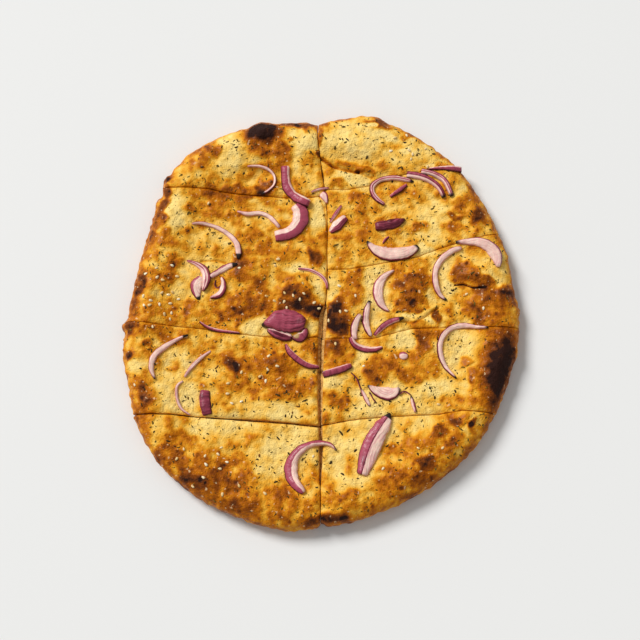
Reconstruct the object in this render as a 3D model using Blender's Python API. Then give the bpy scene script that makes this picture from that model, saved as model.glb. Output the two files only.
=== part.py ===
"""A round baked flatbread in nine hand-cut pieces, with slices of red onion on top and seeds and herb flakes baked into its crust.

All named sizes are in millimetres. +Z is up, +Y points away from the viewer and the underside lies on Z = 0.
"""

import math
import random

import bmesh
import bpy
from mathutils import Matrix
from mathutils import Vector
from mathutils import geometry
from mathutils.bvhtree import BVHTree

MM = 0.001

# The bread's outline: its radius every ten degrees from +X, about EDGE_CENTRE
EDGE_CENTRE = (0.0, 1.3)
EDGE_RADII = (
    103.3, 102.7, 103.9, 105.0, 106.9, 109.5, 110.8, 112.2, 111.4,
    107.0, 108.4, 110.9, 112.9, 113.3, 110.4, 103.4, 100.4, 99.8,
    100.9, 104.9, 106.5, 110.4, 112.9, 113.7, 113.3, 112.7, 112.4,
    109.6, 107.5, 105.7, 105.0, 104.8, 104.6, 103.8, 103.0, 103.8,
)
# Lumps and dents of the outline: angle and half width in degrees, height
EDGE_LUMPS = (
    (2.5, 4.0, 0.8),
    (75.5, 5.0, 2.0),
    (91.0, 2.6, -1.4),
    (107.0, 4.2, 2.0),
    (138.0, 1.8, 1.2),
    (142.0, 1.8, -1.8),
    (182.8, 2.2, 2.6),
    (270.3, 1.4, -1.8),
    (349.0, 3.0, 0.8),
)

# The bread's section
EDGE_HEIGHT = 5.4
EDGE_BAND = 1.2
RIM_WIDTH = 11.0
RIM_HEIGHT = 13.6
INNER_FROM_EDGE = 30.0
INNER_HEIGHT = 10.9
UNDERSIDE_ROUNDING = 7.0
TOP_RINGS = (0.7, 2.0, 4.0, 7.0, 11.0)
UNDERSIDE_RINGS = (1.0, 3.0, 7.0)
RING_STEP_DEGREES = 4.0
CRUST_FACET = 6.6
WALL_STEP = 6.0

# Blisters and hollows of the crust: x, y, half length, half width, turn in degrees, height
CRUST_LUMPS = (
    (19.0, 92.0, 18.0, 9.0, -8.0, 2.3),
    (-9.0, 96.0, 9.0, 11.0, 0.0, 1.6),
    (-31.0, 101.5, 8.5, 7.5, 0.0, 3.2),
    (-48.0, 88.0, 10.0, 12.0, 20.0, 1.0),
    (-63.0, 89.0, 9.0, 7.0, 30.0, 1.2),
    (-71.0, 61.0, 9.0, 7.0, 0.0, 1.2),
    (93.5, -27.0, 8.0, 20.0, -11.0, 2.4),
    (97.0, 12.0, 7.0, 9.0, 0.0, 1.6),
    (82.0, 55.0, 8.0, 8.0, 0.0, 1.2),
    (81.0, 23.0, 13.0, 7.0, -10.0, 2.0),
    (48.0, 15.0, 13.0, 16.0, 0.0, 1.9),
    (-11.0, 13.0, 13.0, 11.0, 0.0, 1.6),
    (9.0, -2.0, 7.0, 10.0, 0.0, 1.2),
    (-22.0, -24.0, 15.0, 9.0, 0.0, 1.5),
    (-42.0, 22.0, 15.0, 14.0, 0.0, 1.4),
    (-90.0, 20.0, 7.0, 13.0, 0.0, 0.8),
    (53.0, -66.0, 11.0, 8.0, 25.0, 1.6),
    (-56.0, -82.0, 15.0, 8.0, -35.0, 1.0),
    (5.0, -103.0, 8.0, 5.0, 0.0, 1.3),
    (-36.0, 76.0, 11.0, 9.0, 0.0, -1.6),
    (-53.0, 42.0, 9.0, 7.0, 0.0, -1.2),
    (-13.0, 74.0, 6.0, 7.0, 0.0, -1.0),
    (41.0, 69.0, 9.0, 6.0, 0.0, -1.0),
    (72.0, -17.0, 9.0, 11.0, 0.0, -1.4),
    (28.0, 0.0, 5.0, 6.0, 0.0, -0.8),
    (-6.0, -78.0, 7.0, 9.0, 0.0, -0.8),
    (78.0, 34.0, 10.0, 6.0, 0.0, -0.8),
    (-78.0, -26.0, 7.0, 8.0, 0.0, -1.0),
    (-20.0, -62.0, 16.0, 6.0, 0.0, -0.6),
    (-60.0, 18.0, 8.0, 7.0, 0.0, -0.8),
)
CRUST_WAVES = 5
CRUST_WAVE_HEIGHT = 0.22
CRUST_WAVE_LENGTHS = (16.0, 34.0)

# The knife cuts: points along each cut and its width there
LONG_CUT = (
    (-1.0, 118.0, 0.6), (-1.8, 98.0, 0.6), (-0.6, 88.0, 0.7), (0.9, 78.0, 1.4), (2.2, 68.0, 0.7),
    (3.2, 58.0, 0.9), (3.5, 47.0, 0.8), (3.2, 36.0, 0.6), (3.4, 20.0, 0.6), (2.6, 9.0, 0.8),
    (1.1, 1.0, 4.2), (0.8, -6.0, 4.0), (0.2, -12.0, 3.4), (-0.3, -25.0, 3.0), (-0.5, -42.0, 2.5),
    (-0.3, -55.0, 1.9), (0.0, -70.0, 1.9), (-0.4, -85.0, 1.4), (-0.2, -93.0, 0.6), (-0.3, -118.0, 0.6),
)
LEFT_CUTS = (
    ((-120.0, 71.0, 0.6), (-84.0, 70.6, 0.6), (-60.0, 69.9, 0.6), (-50.0, 67.8, 0.8), (-38.0, 66.5, 0.8),
     (-18.0, 65.1, 0.6), (6.0, 66.5, 0.6)),
    ((-120.0, -2.0, 0.6), (-98.0, -2.2, 0.6), (-80.0, -4.1, 0.6), (-60.0, -6.0, 0.6), (-38.0, -9.0, 0.6),
     (-16.0, -11.0, 0.6), (6.0, -9.6, 0.6)),
    ((-120.0, -50.5, 0.6), (-78.0, -50.7, 0.6), (-56.0, -52.6, 0.9), (-38.0, -53.5, 1.5),
     (-14.0, -55.5, 1.4), (6.0, -57.6, 1.6)),
)
RIGHT_CUTS = (
    ((-6.0, 69.8, 0.6), (14.0, 69.6, 0.6), (26.0, 72.0, 0.6), (44.0, 77.6, 0.6), (60.0, 80.0, 0.6),
     (120.0, 84.0, 0.6)),
    ((-6.0, 25.8, 0.6), (15.0, 26.3, 0.6), (34.0, 29.6, 0.6), (50.0, 32.8, 0.6), (64.0, 37.8, 0.6),
     (84.0, 43.2, 0.6), (120.0, 51.0, 0.6)),
    ((-6.0, -10.6, 0.6), (26.0, -11.2, 0.6), (46.0, -5.9, 0.6), (64.0, -5.2, 0.6), (84.0, -5.2, 0.6),
     (120.0, -5.6, 0.6)),
    ((-6.0, -57.6, 1.3), (15.0, -53.6, 1.1), (38.0, -51.6, 1.0), (60.0, -50.7, 0.9), (72.0, -48.9, 0.6),
     (120.0, -52.5, 0.6)),
)
KNIFE_ROUNDING = 3.0
KNIFE_DROP = 0.8
LONGEST_REACH = 130.0

# Slices of onion: height, then points along the middle of the slice and its width there.
# A slice lies on what comes before it in this list.
ONION_GAP = 0.35
ONIONS = (
    ("onion_01", 1.5, ((-39.0, 82.1, 0.8), (-33.0, 82.2, 1.4), (-27.5, 80.2, 1.5), (-24.6, 76.4, 1.5),
                       (-24.8, 72.0, 1.4), (-28.0, 68.6, 1.3), (-31.2, 66.8, 0.9))),
    ("onion_02", 2.8, ((-12.9, 60.2, 5.0), (-10.4, 56.5, 6.4), (-10.6, 52.0, 6.6), (-13.0, 47.8, 6.6),
                       (-17.5, 45.2, 6.4), (-23.4, 44.2, 4.0))),
    ("onion_03", 2.6, ((-18.7, 81.6, 2.6), (-18.8, 76.0, 4.4), (-17.8, 70.5, 4.6), (-14.6, 66.0, 4.4),
                       (-10.5, 63.2, 4.2), (-6.6, 61.6, 2.6))),
    ("onion_04", 1.8, ((-43.6, 57.0, 0.9), (-39.0, 56.0, 2.0), (-33.0, 56.6, 2.2), (-28.0, 55.0, 2.2),
                       (-24.2, 51.4, 1.8))),
    ("onion_05", 2.0, ((-68.0, 50.6, 0.9), (-62.0, 50.8, 1.7), (-55.0, 48.7, 2.0), (-48.8, 44.9, 2.3),
                       (-44.6, 40.2, 2.7), (-43.2, 35.5, 3.0), (-43.4, 31.4, 1.6))),
    ("onion_06", 1.7, ((-62.6, 21.6, 2.2), (-65.0, 18.0, 5.2), (-65.4, 14.2, 4.2), (-63.9, 9.8, 1.4))),
    ("onion_07", 2.0, ((-70.4, 30.6, 0.9), (-66.0, 29.2, 2.2), (-61.6, 26.2, 3.6), (-59.9, 21.6, 4.2),
                       (-60.4, 17.4, 3.2), (-61.6, 14.2, 1.2))),
    ("onion_08", 1.8, ((-43.9, 28.4, 0.9), (-48.0, 27.9, 2.4), (-52.4, 25.8, 2.6), (-56.4, 23.0, 1.8))),
    ("onion_09", 2.0, ((-52.0, 21.4, 1.4), (-50.9, 18.0, 2.8), (-51.6, 14.0, 3.4), (-54.0, 11.6, 3.0),
                       (-57.8, 10.5, 1.0))),
    ("onion_10", 1.5, ((-12.0, 26.3, 0.9), (-6.0, 25.6, 1.6), (-0.6, 22.9, 1.8), (2.6, 19.2, 1.6),
                       (3.3, 15.6, 0.9))),
    ("onion_11", 1.6, ((-27.8, -6.6, 2.0), (-23.6, -8.6, 4.4), (-19.6, -10.2, 4.2), (-16.9, -11.2, 1.8))),
    ("onion_12", 2.0, ((-8.4, -6.4, 2.0), (-8.8, -9.4, 3.0), (-11.2, -11.4, 3.4), (-15.0, -11.5, 1.6))),
    ("onion_13", 3.4, ((-30.6, -4.4, 0.9), (-25.4, -2.4, 7.6), (-20.0, -1.9, 11.4), (-14.6, -2.4, 10.6),
                       (-10.2, -3.8, 6.4), (-8.2, -4.8, 2.0))),
    ("onion_14", 1.5, ((-63.2, -2.2, 0.9), (-59.6, -4.8, 1.5), (-53.0, -6.9, 1.7), (-42.4, -8.2, 1.0))),
    ("onion_15", 2.2, ((-18.3, -14.2, 1.4), (-16.4, -18.2, 2.8), (-12.0, -22.4, 3.0), (-6.6, -25.4, 2.8),
                       (-0.9, -26.1, 1.6))),
    ("onion_16", 2.0, ((-69.0, -9.4, 0.9), (-74.4, -11.6, 1.7), (-81.0, -15.6, 2.8), (-86.2, -20.6, 3.0),
                       (-87.6, -27.0, 2.6), (-85.6, -32.6, 1.0))),
    ("onion_17", 1.5, ((-57.2, -17.6, 0.9), (-62.6, -21.6, 1.7), (-67.4, -26.6, 1.8), (-70.4, -31.4, 1.0))),
    ("onion_18", 1.4, ((-71.2, -33.6, 1.0), (-74.2, -36.4, 1.4), (-74.1, -42.4, 1.4), (-71.8, -47.8, 1.3),
                       (-67.4, -50.9, 0.9))),
    ("onion_19", 2.0, ((-59.4, -38.3, 3.4), (-59.8, -42.0, 5.2), (-59.3, -46.5, 5.2), (-58.3, -51.2, 4.8))),
    ("onion_20", 3.0, ((7.9, -69.4, 0.9), (4.4, -66.2, 2.0), (-2.0, -65.6, 2.8), (-8.6, -67.8, 3.8),
                       (-13.4, -72.2, 5.2), (-15.4, -78.4, 6.4), (-14.0, -85.2, 5.8), (-8.8, -91.2, 3.0))),
    ("onion_21", 2.4, ((1.0, -30.3, 3.2), (5.4, -28.9, 3.6), (10.6, -27.4, 3.6), (15.8, -25.2, 2.4))),
    ("onion_22", 3.0, ((35.4, -50.2, 1.2), (33.2, -54.4, 6.0), (29.4, -60.4, 8.4), (26.0, -67.0, 9.2),
                       (23.4, -73.8, 8.6), (20.6, -81.4, 3.0))),
    ("onion_23", 2.0, ((24.2, -35.8, 1.0), (28.6, -38.6, 4.4), (33.4, -40.0, 6.4), (37.4, -39.6, 5.4),
                       (40.4, -37.0, 1.6))),
    ("onion_24", 1.5, ((20.9, -37.8, 1.2), (22.8, -42.0, 2.0), (25.1, -46.6, 1.2))),
    ("onion_25", 1.5, ((46.4, -41.4, 1.0), (47.4, -45.4, 1.9), (48.6, -49.6, 1.4))),
    ("onion_26", 2.0, ((86.6, -5.5, 1.0), (81.0, -5.1, 1.8), (74.4, -4.0, 2.8), (67.6, -5.6, 2.8),
                       (62.6, -11.0, 3.0), (61.6, -18.4, 2.8), (64.4, -26.0, 2.2), (69.8, -32.2, 1.0))),
    ("onion_27", 1.9, ((18.9, 1.6, 2.2), (18.0, -3.0, 3.2), (17.8, -7.6, 3.2), (18.4, -11.6, 2.4))),
    ("onion_28", 1.9, ((15.0, -11.2, 1.2), (17.6, -14.9, 2.4), (22.6, -16.7, 2.8), (27.4, -17.0, 2.6),
                       (31.8, -16.0, 1.4))),
    ("onion_29", 1.8, ((25.2, 8.9, 1.4), (23.6, 4.0, 2.6), (23.1, -1.6, 2.6), (24.2, -6.4, 2.4),
                       (25.9, -9.6, 1.4))),
    ("onion_30", 1.8, ((28.2, -8.8, 1.4), (32.2, -4.6, 2.4), (36.8, -1.8, 2.6), (43.0, -0.4, 1.2))),
    ("onion_31", 2.2, ((37.9, 25.4, 0.9), (33.0, 22.3, 3.0), (29.9, 17.4, 4.6), (29.4, 11.8, 4.6),
                       (31.6, 6.6, 3.2), (35.8, 3.4, 1.0))),
    ("onion_32", 2.1, ((73.8, 37.2, 1.6), (69.0, 35.9, 2.8), (63.4, 31.6, 3.0), (60.0, 25.4, 3.0),
                       (59.9, 18.0, 3.0), (62.0, 12.4, 2.4), (65.6, 9.4, 1.0))),
    ("onion_33", 2.3, ((70.8, 40.3, 1.0), (76.6, 40.7, 2.6), (83.2, 40.5, 3.6), (89.4, 37.6, 5.2),
                       (92.8, 32.4, 4.4), (93.2, 26.4, 1.2))),
    ("onion_34", 2.8, ((24.2, 40.9, 1.2), (28.0, 36.8, 4.6), (33.8, 34.2, 6.6), (40.2, 33.9, 6.8),
                       (46.4, 35.4, 5.6), (51.2, 38.4, 2.4))),
    ("onion_35", 1.3, ((35.8, 43.6, 0.9), (33.8, 42.0, 1.3), (32.6, 39.9, 0.9))),
    ("onion_36", 2.6, ((28.6, 49.0, 4.2), (34.0, 49.7, 5.2), (39.4, 50.9, 4.8), (44.4, 53.0, 1.2))),
    ("onion_37", 2.2, ((5.6, 47.9, 2.4), (8.8, 50.4, 4.8), (12.7, 54.0, 3.2))),
    ("onion_38", 1.3, ((5.4, 54.2, 0.9), (7.8, 57.6, 1.7), (10.4, 61.0, 0.9))),
    ("onion_39", 1.2, ((1.4, 68.0, 2.6), (2.4, 65.6, 2.8), (3.2, 62.6, 0.9))),
    ("onion_40", 1.4, ((-5.2, 68.3, 0.9), (-1.0, 69.8, 1.3), (4.1, 70.6, 0.9))),
    ("onion_41", 2.0, ((48.9, 73.4, 1.2), (44.0, 75.0, 2.2), (38.0, 76.0, 2.4), (31.6, 75.1, 2.4),
                       (27.4, 71.8, 2.6), (27.3, 67.6, 2.6), (29.9, 63.8, 2.6), (33.6, 61.2, 1.4))),
    ("onion_42", 1.8, ((45.6, 71.9, 1.6), (41.4, 68.9, 2.3), (36.7, 65.4, 1.6))),
    ("onion_43", 2.1, ((46.6, 77.7, 2.6), (51.8, 76.3, 2.7), (57.4, 73.9, 2.6), (62.2, 70.2, 2.5),
                       (65.0, 64.8, 1.6))),
    ("onion_44", 2.1, ((54.2, 78.4, 1.6), (60.2, 77.0, 2.5), (65.2, 73.3, 2.5), (69.0, 65.4, 1.6))),
    ("onion_45", 2.0, ((57.2, 80.3, 1.0), (66.0, 80.7, 2.4), (74.8, 80.8, 3.0))),
    ("onion_46", 1.4, ((40.6, -20.2, 2.4), (42.7, -20.2, 4.0), (44.9, -20.2, 2.2))),
)
ONION_STATION_STEP = 3.4
ONION_PROFILE = ((-0.50, 0.0), (-0.44, 0.72), (0.0, 1.0), (0.44, 0.72), (0.50, 0.0))

# Seeds and herb flakes baked into the crust: half length, half width and half height
SEED_HALVES = (1.5, 0.95, 0.62)
FLAKE_HALVES = (1.7, 0.95, 0.5)
SEED_COUNT = 56
FLAKE_COUNT = 74
GRAIN_SUNK = 0.25
GRAIN_CLEAR = 2.6
GRAIN_APART = 5.0
# Most seeds lie on the left and near rim: centre and radius of each patch
SEED_PATCHES = (
    (-85.0, 12.0, 20.0),
    (-62.0, -72.0, 26.0),
    (-12.0, 10.0, 16.0),
    (-35.0, -30.0, 22.0),
    (50.0, 92.0, 14.0),
    (50.0, -72.0, 18.0),
)
SEED_PATCH_SHARE = 0.75


def clear_scene():
    for old in list(bpy.data.objects):
        bpy.data.objects.remove(old, do_unlink=True)


def smooth(t):
    t = min(max(t, 0.0), 1.0)
    return t * t * (3.0 - 2.0 * t)


def material(name, colour, roughness, coat):
    made = bpy.data.materials.new(name)
    made.use_nodes = True
    shader = made.node_tree.nodes["Principled BSDF"]
    shader.inputs["Base Color"].default_value = (*colour, 1.0)
    shader.inputs["Roughness"].default_value = roughness
    shader.inputs["Coat Weight"].default_value = coat
    return made


def edge_radius(angle):
    """The outline's radius at an angle, smooth between the named radii, with the named lumps."""
    degrees = math.degrees(angle) % 360.0
    step = 360.0 / len(EDGE_RADII)
    index, part = divmod(degrees / step, 1.0)
    index = int(index)
    a, b, c, d = (EDGE_RADII[(index + k) % len(EDGE_RADII)] for k in (-1, 0, 1, 2))
    radius = b + 0.5 * part * (c - a + part * (2 * a - 5 * b + 4 * c - d + part * (3 * (b - c) + d - a)))
    for centre, half, height in EDGE_LUMPS:
        away = abs((degrees - centre + 180.0) % 360.0 - 180.0) / half
        if away < 1.0:
            radius += height * (1.0 - away * away) ** 2
    return radius


def edge_point(angle, inset=0.0):
    radius = edge_radius(angle) - inset
    return (EDGE_CENTRE[0] + radius * math.cos(angle), EDGE_CENTRE[1] + radius * math.sin(angle))


def inset_of(x, y):
    """How far inside the outline a point lies, along the radius."""
    dx, dy = x - EDGE_CENTRE[0], y - EDGE_CENTRE[1]
    return edge_radius(math.atan2(dy, dx)) - math.hypot(dx, dy)


def waves():
    picker = random.Random(11)
    made = []
    for _ in range(CRUST_WAVES):
        turn = picker.uniform(0.0, math.tau)
        length = picker.uniform(*CRUST_WAVE_LENGTHS)
        made.append((math.cos(turn) * math.tau / length, math.sin(turn) * math.tau / length, picker.uniform(0.0, math.tau)))
    return made


WAVES = waves()


def cut_offset(cut, along, axis):
    """Centre and width of a cut at a place along it. Axis 0 is a row cut read at x, axis 1 the long cut read at y."""
    points = cut if axis == 0 else tuple(reversed(cut))
    for first, second in zip(points, points[1:]):
        if along <= second[axis]:
            break
    t = (along - first[axis]) / (second[axis] - first[axis])
    t = min(max(t, 0.0), 1.0)
    other = 1 - axis
    return first[other] + t * (second[other] - first[other]), first[2] + t * (second[2] - first[2])


def knife_distance(x, y):
    """Distance from a point of the crust to the wall of the nearest cut."""
    centre, width = cut_offset(LONG_CUT, y, 1)
    nearest = abs(x - centre) - width / 2
    for cut in LEFT_CUTS if x < centre else RIGHT_CUTS:
        row, row_width = cut_offset(cut, x, 0)
        nearest = min(nearest, abs(y - row) - row_width / 2)
    return max(nearest, 0.0)


def crust_height(x, y):
    inset = max(inset_of(x, y), 0.0)
    rise = math.sqrt(1.0 - (1.0 - min(inset / RIM_WIDTH, 1.0)) ** 2)
    low = EDGE_HEIGHT + EDGE_BAND / 2
    rim = low + (RIM_HEIGHT - low) * rise
    inner = smooth((inset - RIM_WIDTH) / (INNER_FROM_EDGE - RIM_WIDTH))
    height = rim + (INNER_HEIGHT - rim) * inner
    relief = 0.0
    for cx, cy, rx, ry, turn, lump in CRUST_LUMPS:
        c, s = math.cos(math.radians(turn)), math.sin(math.radians(turn))
        u = ((x - cx) * c + (y - cy) * s) / rx
        v = ((y - cy) * c - (x - cx) * s) / ry
        q = u * u + v * v
        if q < 1.0:
            relief += lump * (1.0 - q) ** 2
    for kx, ky, phase in WAVES:
        relief += CRUST_WAVE_HEIGHT * math.sin(kx * x + ky * y + phase)
    knife = max(1.0 - knife_distance(x, y) / KNIFE_ROUNDING, 0.0)
    return height + relief * smooth(inset / RIM_WIDTH) - KNIFE_DROP * knife * knife * smooth(inset / RIM_WIDTH)


def underside_height(x, y):
    inset = max(inset_of(x, y), 0.0)
    rise = 1.0 - min(inset / UNDERSIDE_ROUNDING, 1.0)
    return (EDGE_HEIGHT - EDGE_BAND / 2) * (1.0 - math.sqrt(1.0 - rise * rise))


def wall_lines():
    """Both walls of every cut as lines of points, finely enough divided for the crust beside them."""
    lines = []
    cuts = [(LONG_CUT, 1)] + [(cut, 0) for cut in LEFT_CUTS + RIGHT_CUTS]
    for cut, axis in cuts:
        low = min(point[axis] for point in cut)
        high = max(point[axis] for point in cut)
        marks = {point[axis] for point in cut}
        count = round((high - low) / WALL_STEP)
        for k in range(count + 1):
            mark = low + (high - low) * k / count
            if min(abs(mark - other) for other in marks) > WALL_STEP / 3:
                marks.add(mark)
        for side in (-0.5, 0.5):
            line = []
            for mark in sorted(marks):
                centre, width = cut_offset(cut, mark, axis)
                place = centre + side * width
                line.append((mark, place) if axis == 0 else (place, mark))
            lines.append(divided_at_rings(line))
    return lines


def divided_at_rings(line):
    """The line with a point added wherever it crosses a ring of the rim, so that a cut end shows the rim's section."""
    made = [line[0]]
    parts = 24
    for first, second in zip(line, line[1:]):
        before = inset_of(*first)
        for k in range(1, parts + 1):
            t = k / parts
            x, y = first[0] + t * (second[0] - first[0]), first[1] + t * (second[1] - first[1])
            after = inset_of(x, y)
            if k < parts and any((before - ring) * (after - ring) < 0.0 for ring in TOP_RINGS):
                made.append((x, y))
            before = after
        made.append(second)
    return made


def cell_of(x, y):
    """The name of the bread piece that holds a point, or None in a cut or outside the bread."""
    if inset_of_outline(x, y) < 0.0:
        return None
    centre, width = cut_offset(LONG_CUT, y, 1)
    if abs(x - centre) < width / 2:
        return None
    side, cuts = ("left", LEFT_CUTS) if x < centre else ("right", RIGHT_CUTS)
    row = 1
    for cut in cuts:
        middle, row_width = cut_offset(cut, x, 0)
        if abs(y - middle) < row_width / 2:
            return None
        if y < middle:
            row += 1
    return f"bread_{side}_{row}"


def outline_points():
    count = round(360.0 / RING_STEP_DEGREES)
    return [edge_point(math.tau * k / count) for k in range(count)]


OUTLINE = outline_points()


def inset_of_outline(x, y):
    """Positive inside the straight-sided outline that the mesh has, negative outside."""
    dx, dy = x - EDGE_CENTRE[0], y - EDGE_CENTRE[1]
    part = (math.atan2(dy, dx) % math.tau) / math.tau * len(OUTLINE)
    first = OUTLINE[int(part) % len(OUTLINE)]
    second = OUTLINE[(int(part) + 1) % len(OUTLINE)]
    ux, uy = second[0] - first[0], second[1] - first[1]
    return (ux * (y - first[1]) - uy * (x - first[0])) / math.hypot(ux, uy)


def flat_triangles(points, edges):
    """Delaunay triangles over 2-D points, with the given edges kept: (points, triangles)."""
    made = geometry.delaunay_2d_cdt([Vector(p) for p in points], edges, [], 0, 1e-5, False)
    return [(v.x, v.y) for v in made[0]], [tuple(face) for face in made[2]]


def crust_grid():
    """Points of the crust's inside, in staggered rows, moved a little and kept off the cuts and the rim's rings."""
    picker = random.Random(3)
    points = []
    rows = int(LONGEST_REACH / (CRUST_FACET * 0.866))
    for j in range(-rows, rows + 1):
        for i in range(-20, 21):
            x = (i + 0.5 * (j % 2)) * CRUST_FACET + picker.uniform(-0.7, 0.7)
            y = j * CRUST_FACET * 0.866 + picker.uniform(-0.7, 0.7)
            if inset_of(x, y) > TOP_RINGS[-1] + CRUST_FACET * 0.5 and knife_distance(x, y) > KNIFE_ROUNDING * 0.8:
                points.append((x, y))
    return points


def ring_points(insets):
    points = []
    count = round(360.0 / RING_STEP_DEGREES)
    for number, inset in enumerate(insets):
        for k in range(count):
            point = edge_point(math.tau * (k + 0.5 * (number % 2 == 0)) / count, inset)
            if knife_distance(*point) > 0.9:
                points.append(point)
    return points


def bread_cells():
    """The crust's triangles, seen from above, sorted by the piece of bread that they belong to."""
    points = list(OUTLINE)
    edges = [(k, (k + 1) % len(OUTLINE)) for k in range(len(OUTLINE))]
    for line in wall_lines():
        start = len(points)
        points.extend(line)
        edges.extend((start + k, start + k + 1) for k in range(len(line) - 1))
    points.extend(ring_points(TOP_RINGS))
    points.extend(crust_grid())
    flat, triangles = flat_triangles(points, edges)
    cells = {}
    for triangle in triangles:
        cx = sum(flat[k][0] for k in triangle) / 3
        cy = sum(flat[k][1] for k in triangle) / 3
        name = cell_of(cx, cy)
        if name:
            cells.setdefault(name, []).append(triangle)
    return flat, cells


def border_of(triangles):
    """The directed edges that only one of the triangles has."""
    seen = set()
    for a, b, c in triangles:
        seen |= {(a, b), (b, c), (c, a)}
    return [(a, b) for a, b in seen if (b, a) not in seen]


def upward(flat, triangle):
    (ax, ay), (bx, by), (cx, cy) = (flat[k] for k in triangle)
    area = (bx - ax) * (cy - ay) - (by - ay) * (cx - ax)
    return triangle if area > 0 else (triangle[0], triangle[2], triangle[1])


def underside(flat, border):
    """A piece's underside: the border's points in order, all points, and each triangle with the piece it lies in."""
    order = sorted({k for edge in border for k in edge})
    index = {k: n for n, k in enumerate(order)}
    points = [flat[k] for k in order]
    edges = [(index[a], index[b]) for a, b in border]
    made, triangles = flat_triangles(points + ring_points(UNDERSIDE_RINGS), edges)
    kept = []
    for triangle in triangles:
        cx = sum(made[k][0] for k in triangle) / 3
        cy = sum(made[k][1] for k in triangle) / 3
        kept.append((cell_of(cx, cy), upward(made, triangle)))
    return order, made, kept


def bread_piece(name, flat, triangles):
    triangles = [upward(flat, triangle) for triangle in triangles]
    border = border_of(triangles)
    order, made, kept = underside(flat, border)
    mesh = bmesh.new()
    top = {}
    for triangle in triangles:
        for k in triangle:
            if k not in top:
                x, y = flat[k]
                top[k] = mesh.verts.new((x * MM, y * MM, crust_height(x, y) * MM))
    low = {}

    def low_vert(k):
        if k not in low:
            x, y = made[k]
            low[k] = mesh.verts.new((x * MM, y * MM, underside_height(x, y) * MM))
        return low[k]

    for triangle in triangles:
        mesh.faces.new([top[k] for k in triangle])
    for cell, triangle in kept:
        if cell == name:
            mesh.faces.new([low_vert(k) for k in reversed(triangle)])
    place = {k: n for n, k in enumerate(order)}
    for a, b in border:
        mesh.faces.new((top[b], top[a], low_vert(place[a])))
        mesh.faces.new((top[b], low_vert(place[a]), low_vert(place[b])))
    return finish_mesh(name, mesh, CRUST)


def finish_mesh(name, mesh, coat):
    bmesh.ops.recalc_face_normals(mesh, faces=mesh.faces)
    data = bpy.data.meshes.new(name)
    mesh.to_mesh(data)
    mesh.free()
    made = bpy.data.objects.new(name, data)
    data.materials.append(coat)
    bpy.context.scene.collection.objects.link(made)
    return made


def spread_along(points, step):
    """A smooth line through the points, as stations of (x, y, width)."""
    fine = []
    for k in range(len(points) - 1):
        a = points[max(k - 1, 0)]
        b, c = points[k], points[k + 1]
        d = points[min(k + 2, len(points) - 1)]
        for n in range(16):
            t = n / 16
            fine.append(tuple(
                q + 0.5 * t * (r - p + t * (2 * p - 5 * q + 4 * r - s + t * (3 * (q - r) + s - p)))
                for p, q, r, s in zip(a, b, c, d)
            ))
    fine.append(points[-1])
    reach = [0.0]
    for first, second in zip(fine, fine[1:]):
        reach.append(reach[-1] + math.hypot(second[0] - first[0], second[1] - first[1]))
    count = max(round(reach[-1] / step), 3)
    stations = []
    for k in range(count + 1):
        want = reach[-1] * k / count
        n = max(m for m in range(len(reach)) if reach[m] <= want + 1e-9)
        n = min(n, len(fine) - 2)
        t = (want - reach[n]) / max(reach[n + 1] - reach[n], 1e-9)
        stations.append(tuple(p + t * (q - p) for p, q in zip(fine[n], fine[n + 1])))
    return stations


def across_of(stations, k):
    before, after = stations[max(k - 1, 0)], stations[min(k + 1, len(stations) - 1)]
    dx, dy = after[0] - before[0], after[1] - before[1]
    size = math.hypot(dx, dy)
    return -dy / size, dx / size


def support_height(trees, x, y):
    highest = None
    for tree in trees:
        hit = tree.ray_cast(Vector((x * MM, y * MM, 0.08)), Vector((0.0, 0.0, -1.0)))[0]
        if hit is not None:
            highest = max(hit.z / MM, highest or 0.0)
    return highest


def seat_heights(stations, trees):
    """The lowest height of each station at which the slice clears all that lies under it."""
    spans = []
    for k in range(len(stations) - 1):
        first, second = stations[k], stations[k + 1]
        ax, ay = across_of(stations, k)
        bx, by = across_of(stations, k + 1)
        found = []
        for m in range(7):
            t = m / 6
            x, y, width = (p + t * (q - p) for p, q in zip(first, second))
            nx, ny = ax + t * (bx - ax), ay + t * (by - ay)
            for side in (-0.56, -0.38, -0.19, 0.0, 0.19, 0.38, 0.56):
                height = support_height(trees, x + nx * side * width, y + ny * side * width)
                if height is not None:
                    found.append(height)
        spans.append(max(found) if found else None)
    filled = [s if s is not None else max(v for v in spans if v is not None) for s in spans]
    seats = [filled[0]]
    seats += [max(a, b) for a, b in zip(filled, filled[1:])]
    seats.append(filled[-1])
    return [seat + ONION_GAP for seat in seats]


def onion_slice(name, height, points, trees):
    stations = spread_along(points, ONION_STATION_STEP)
    seats = seat_heights(stations, trees)
    mesh = bmesh.new()
    rings = []
    for k, (x, y, width) in enumerate(stations):
        nx, ny = across_of(stations, k)
        ends = min(k, len(stations) - 1 - k)
        tall = height * (0.62 if ends == 0 else 1.0)
        ring = []
        for side, up in ONION_PROFILE:
            ring.append(mesh.verts.new((
                (x + nx * side * width) * MM,
                (y + ny * side * width) * MM,
                (seats[k] + up * tall) * MM,
            )))
        rings.append(ring)
    for ring, following in zip(rings, rings[1:]):
        for n in range(len(ring)):
            m = (n + 1) % len(ring)
            mesh.faces.new((ring[n], ring[m], following[m], following[n]))
    mesh.faces.new(rings[0])
    mesh.faces.new(list(reversed(rings[-1])))
    bmesh.ops.triangulate(mesh, faces=mesh.faces)
    return finish_mesh(name, mesh, ONION_SKIN)


def clear_of_onions(x, y):
    for _, _, points in ONIONS:
        for px, py, width in spread_along(points, 2.0):
            if math.hypot(px - x, py - y) < width / 2 + GRAIN_CLEAR:
                return False
    return True


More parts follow.
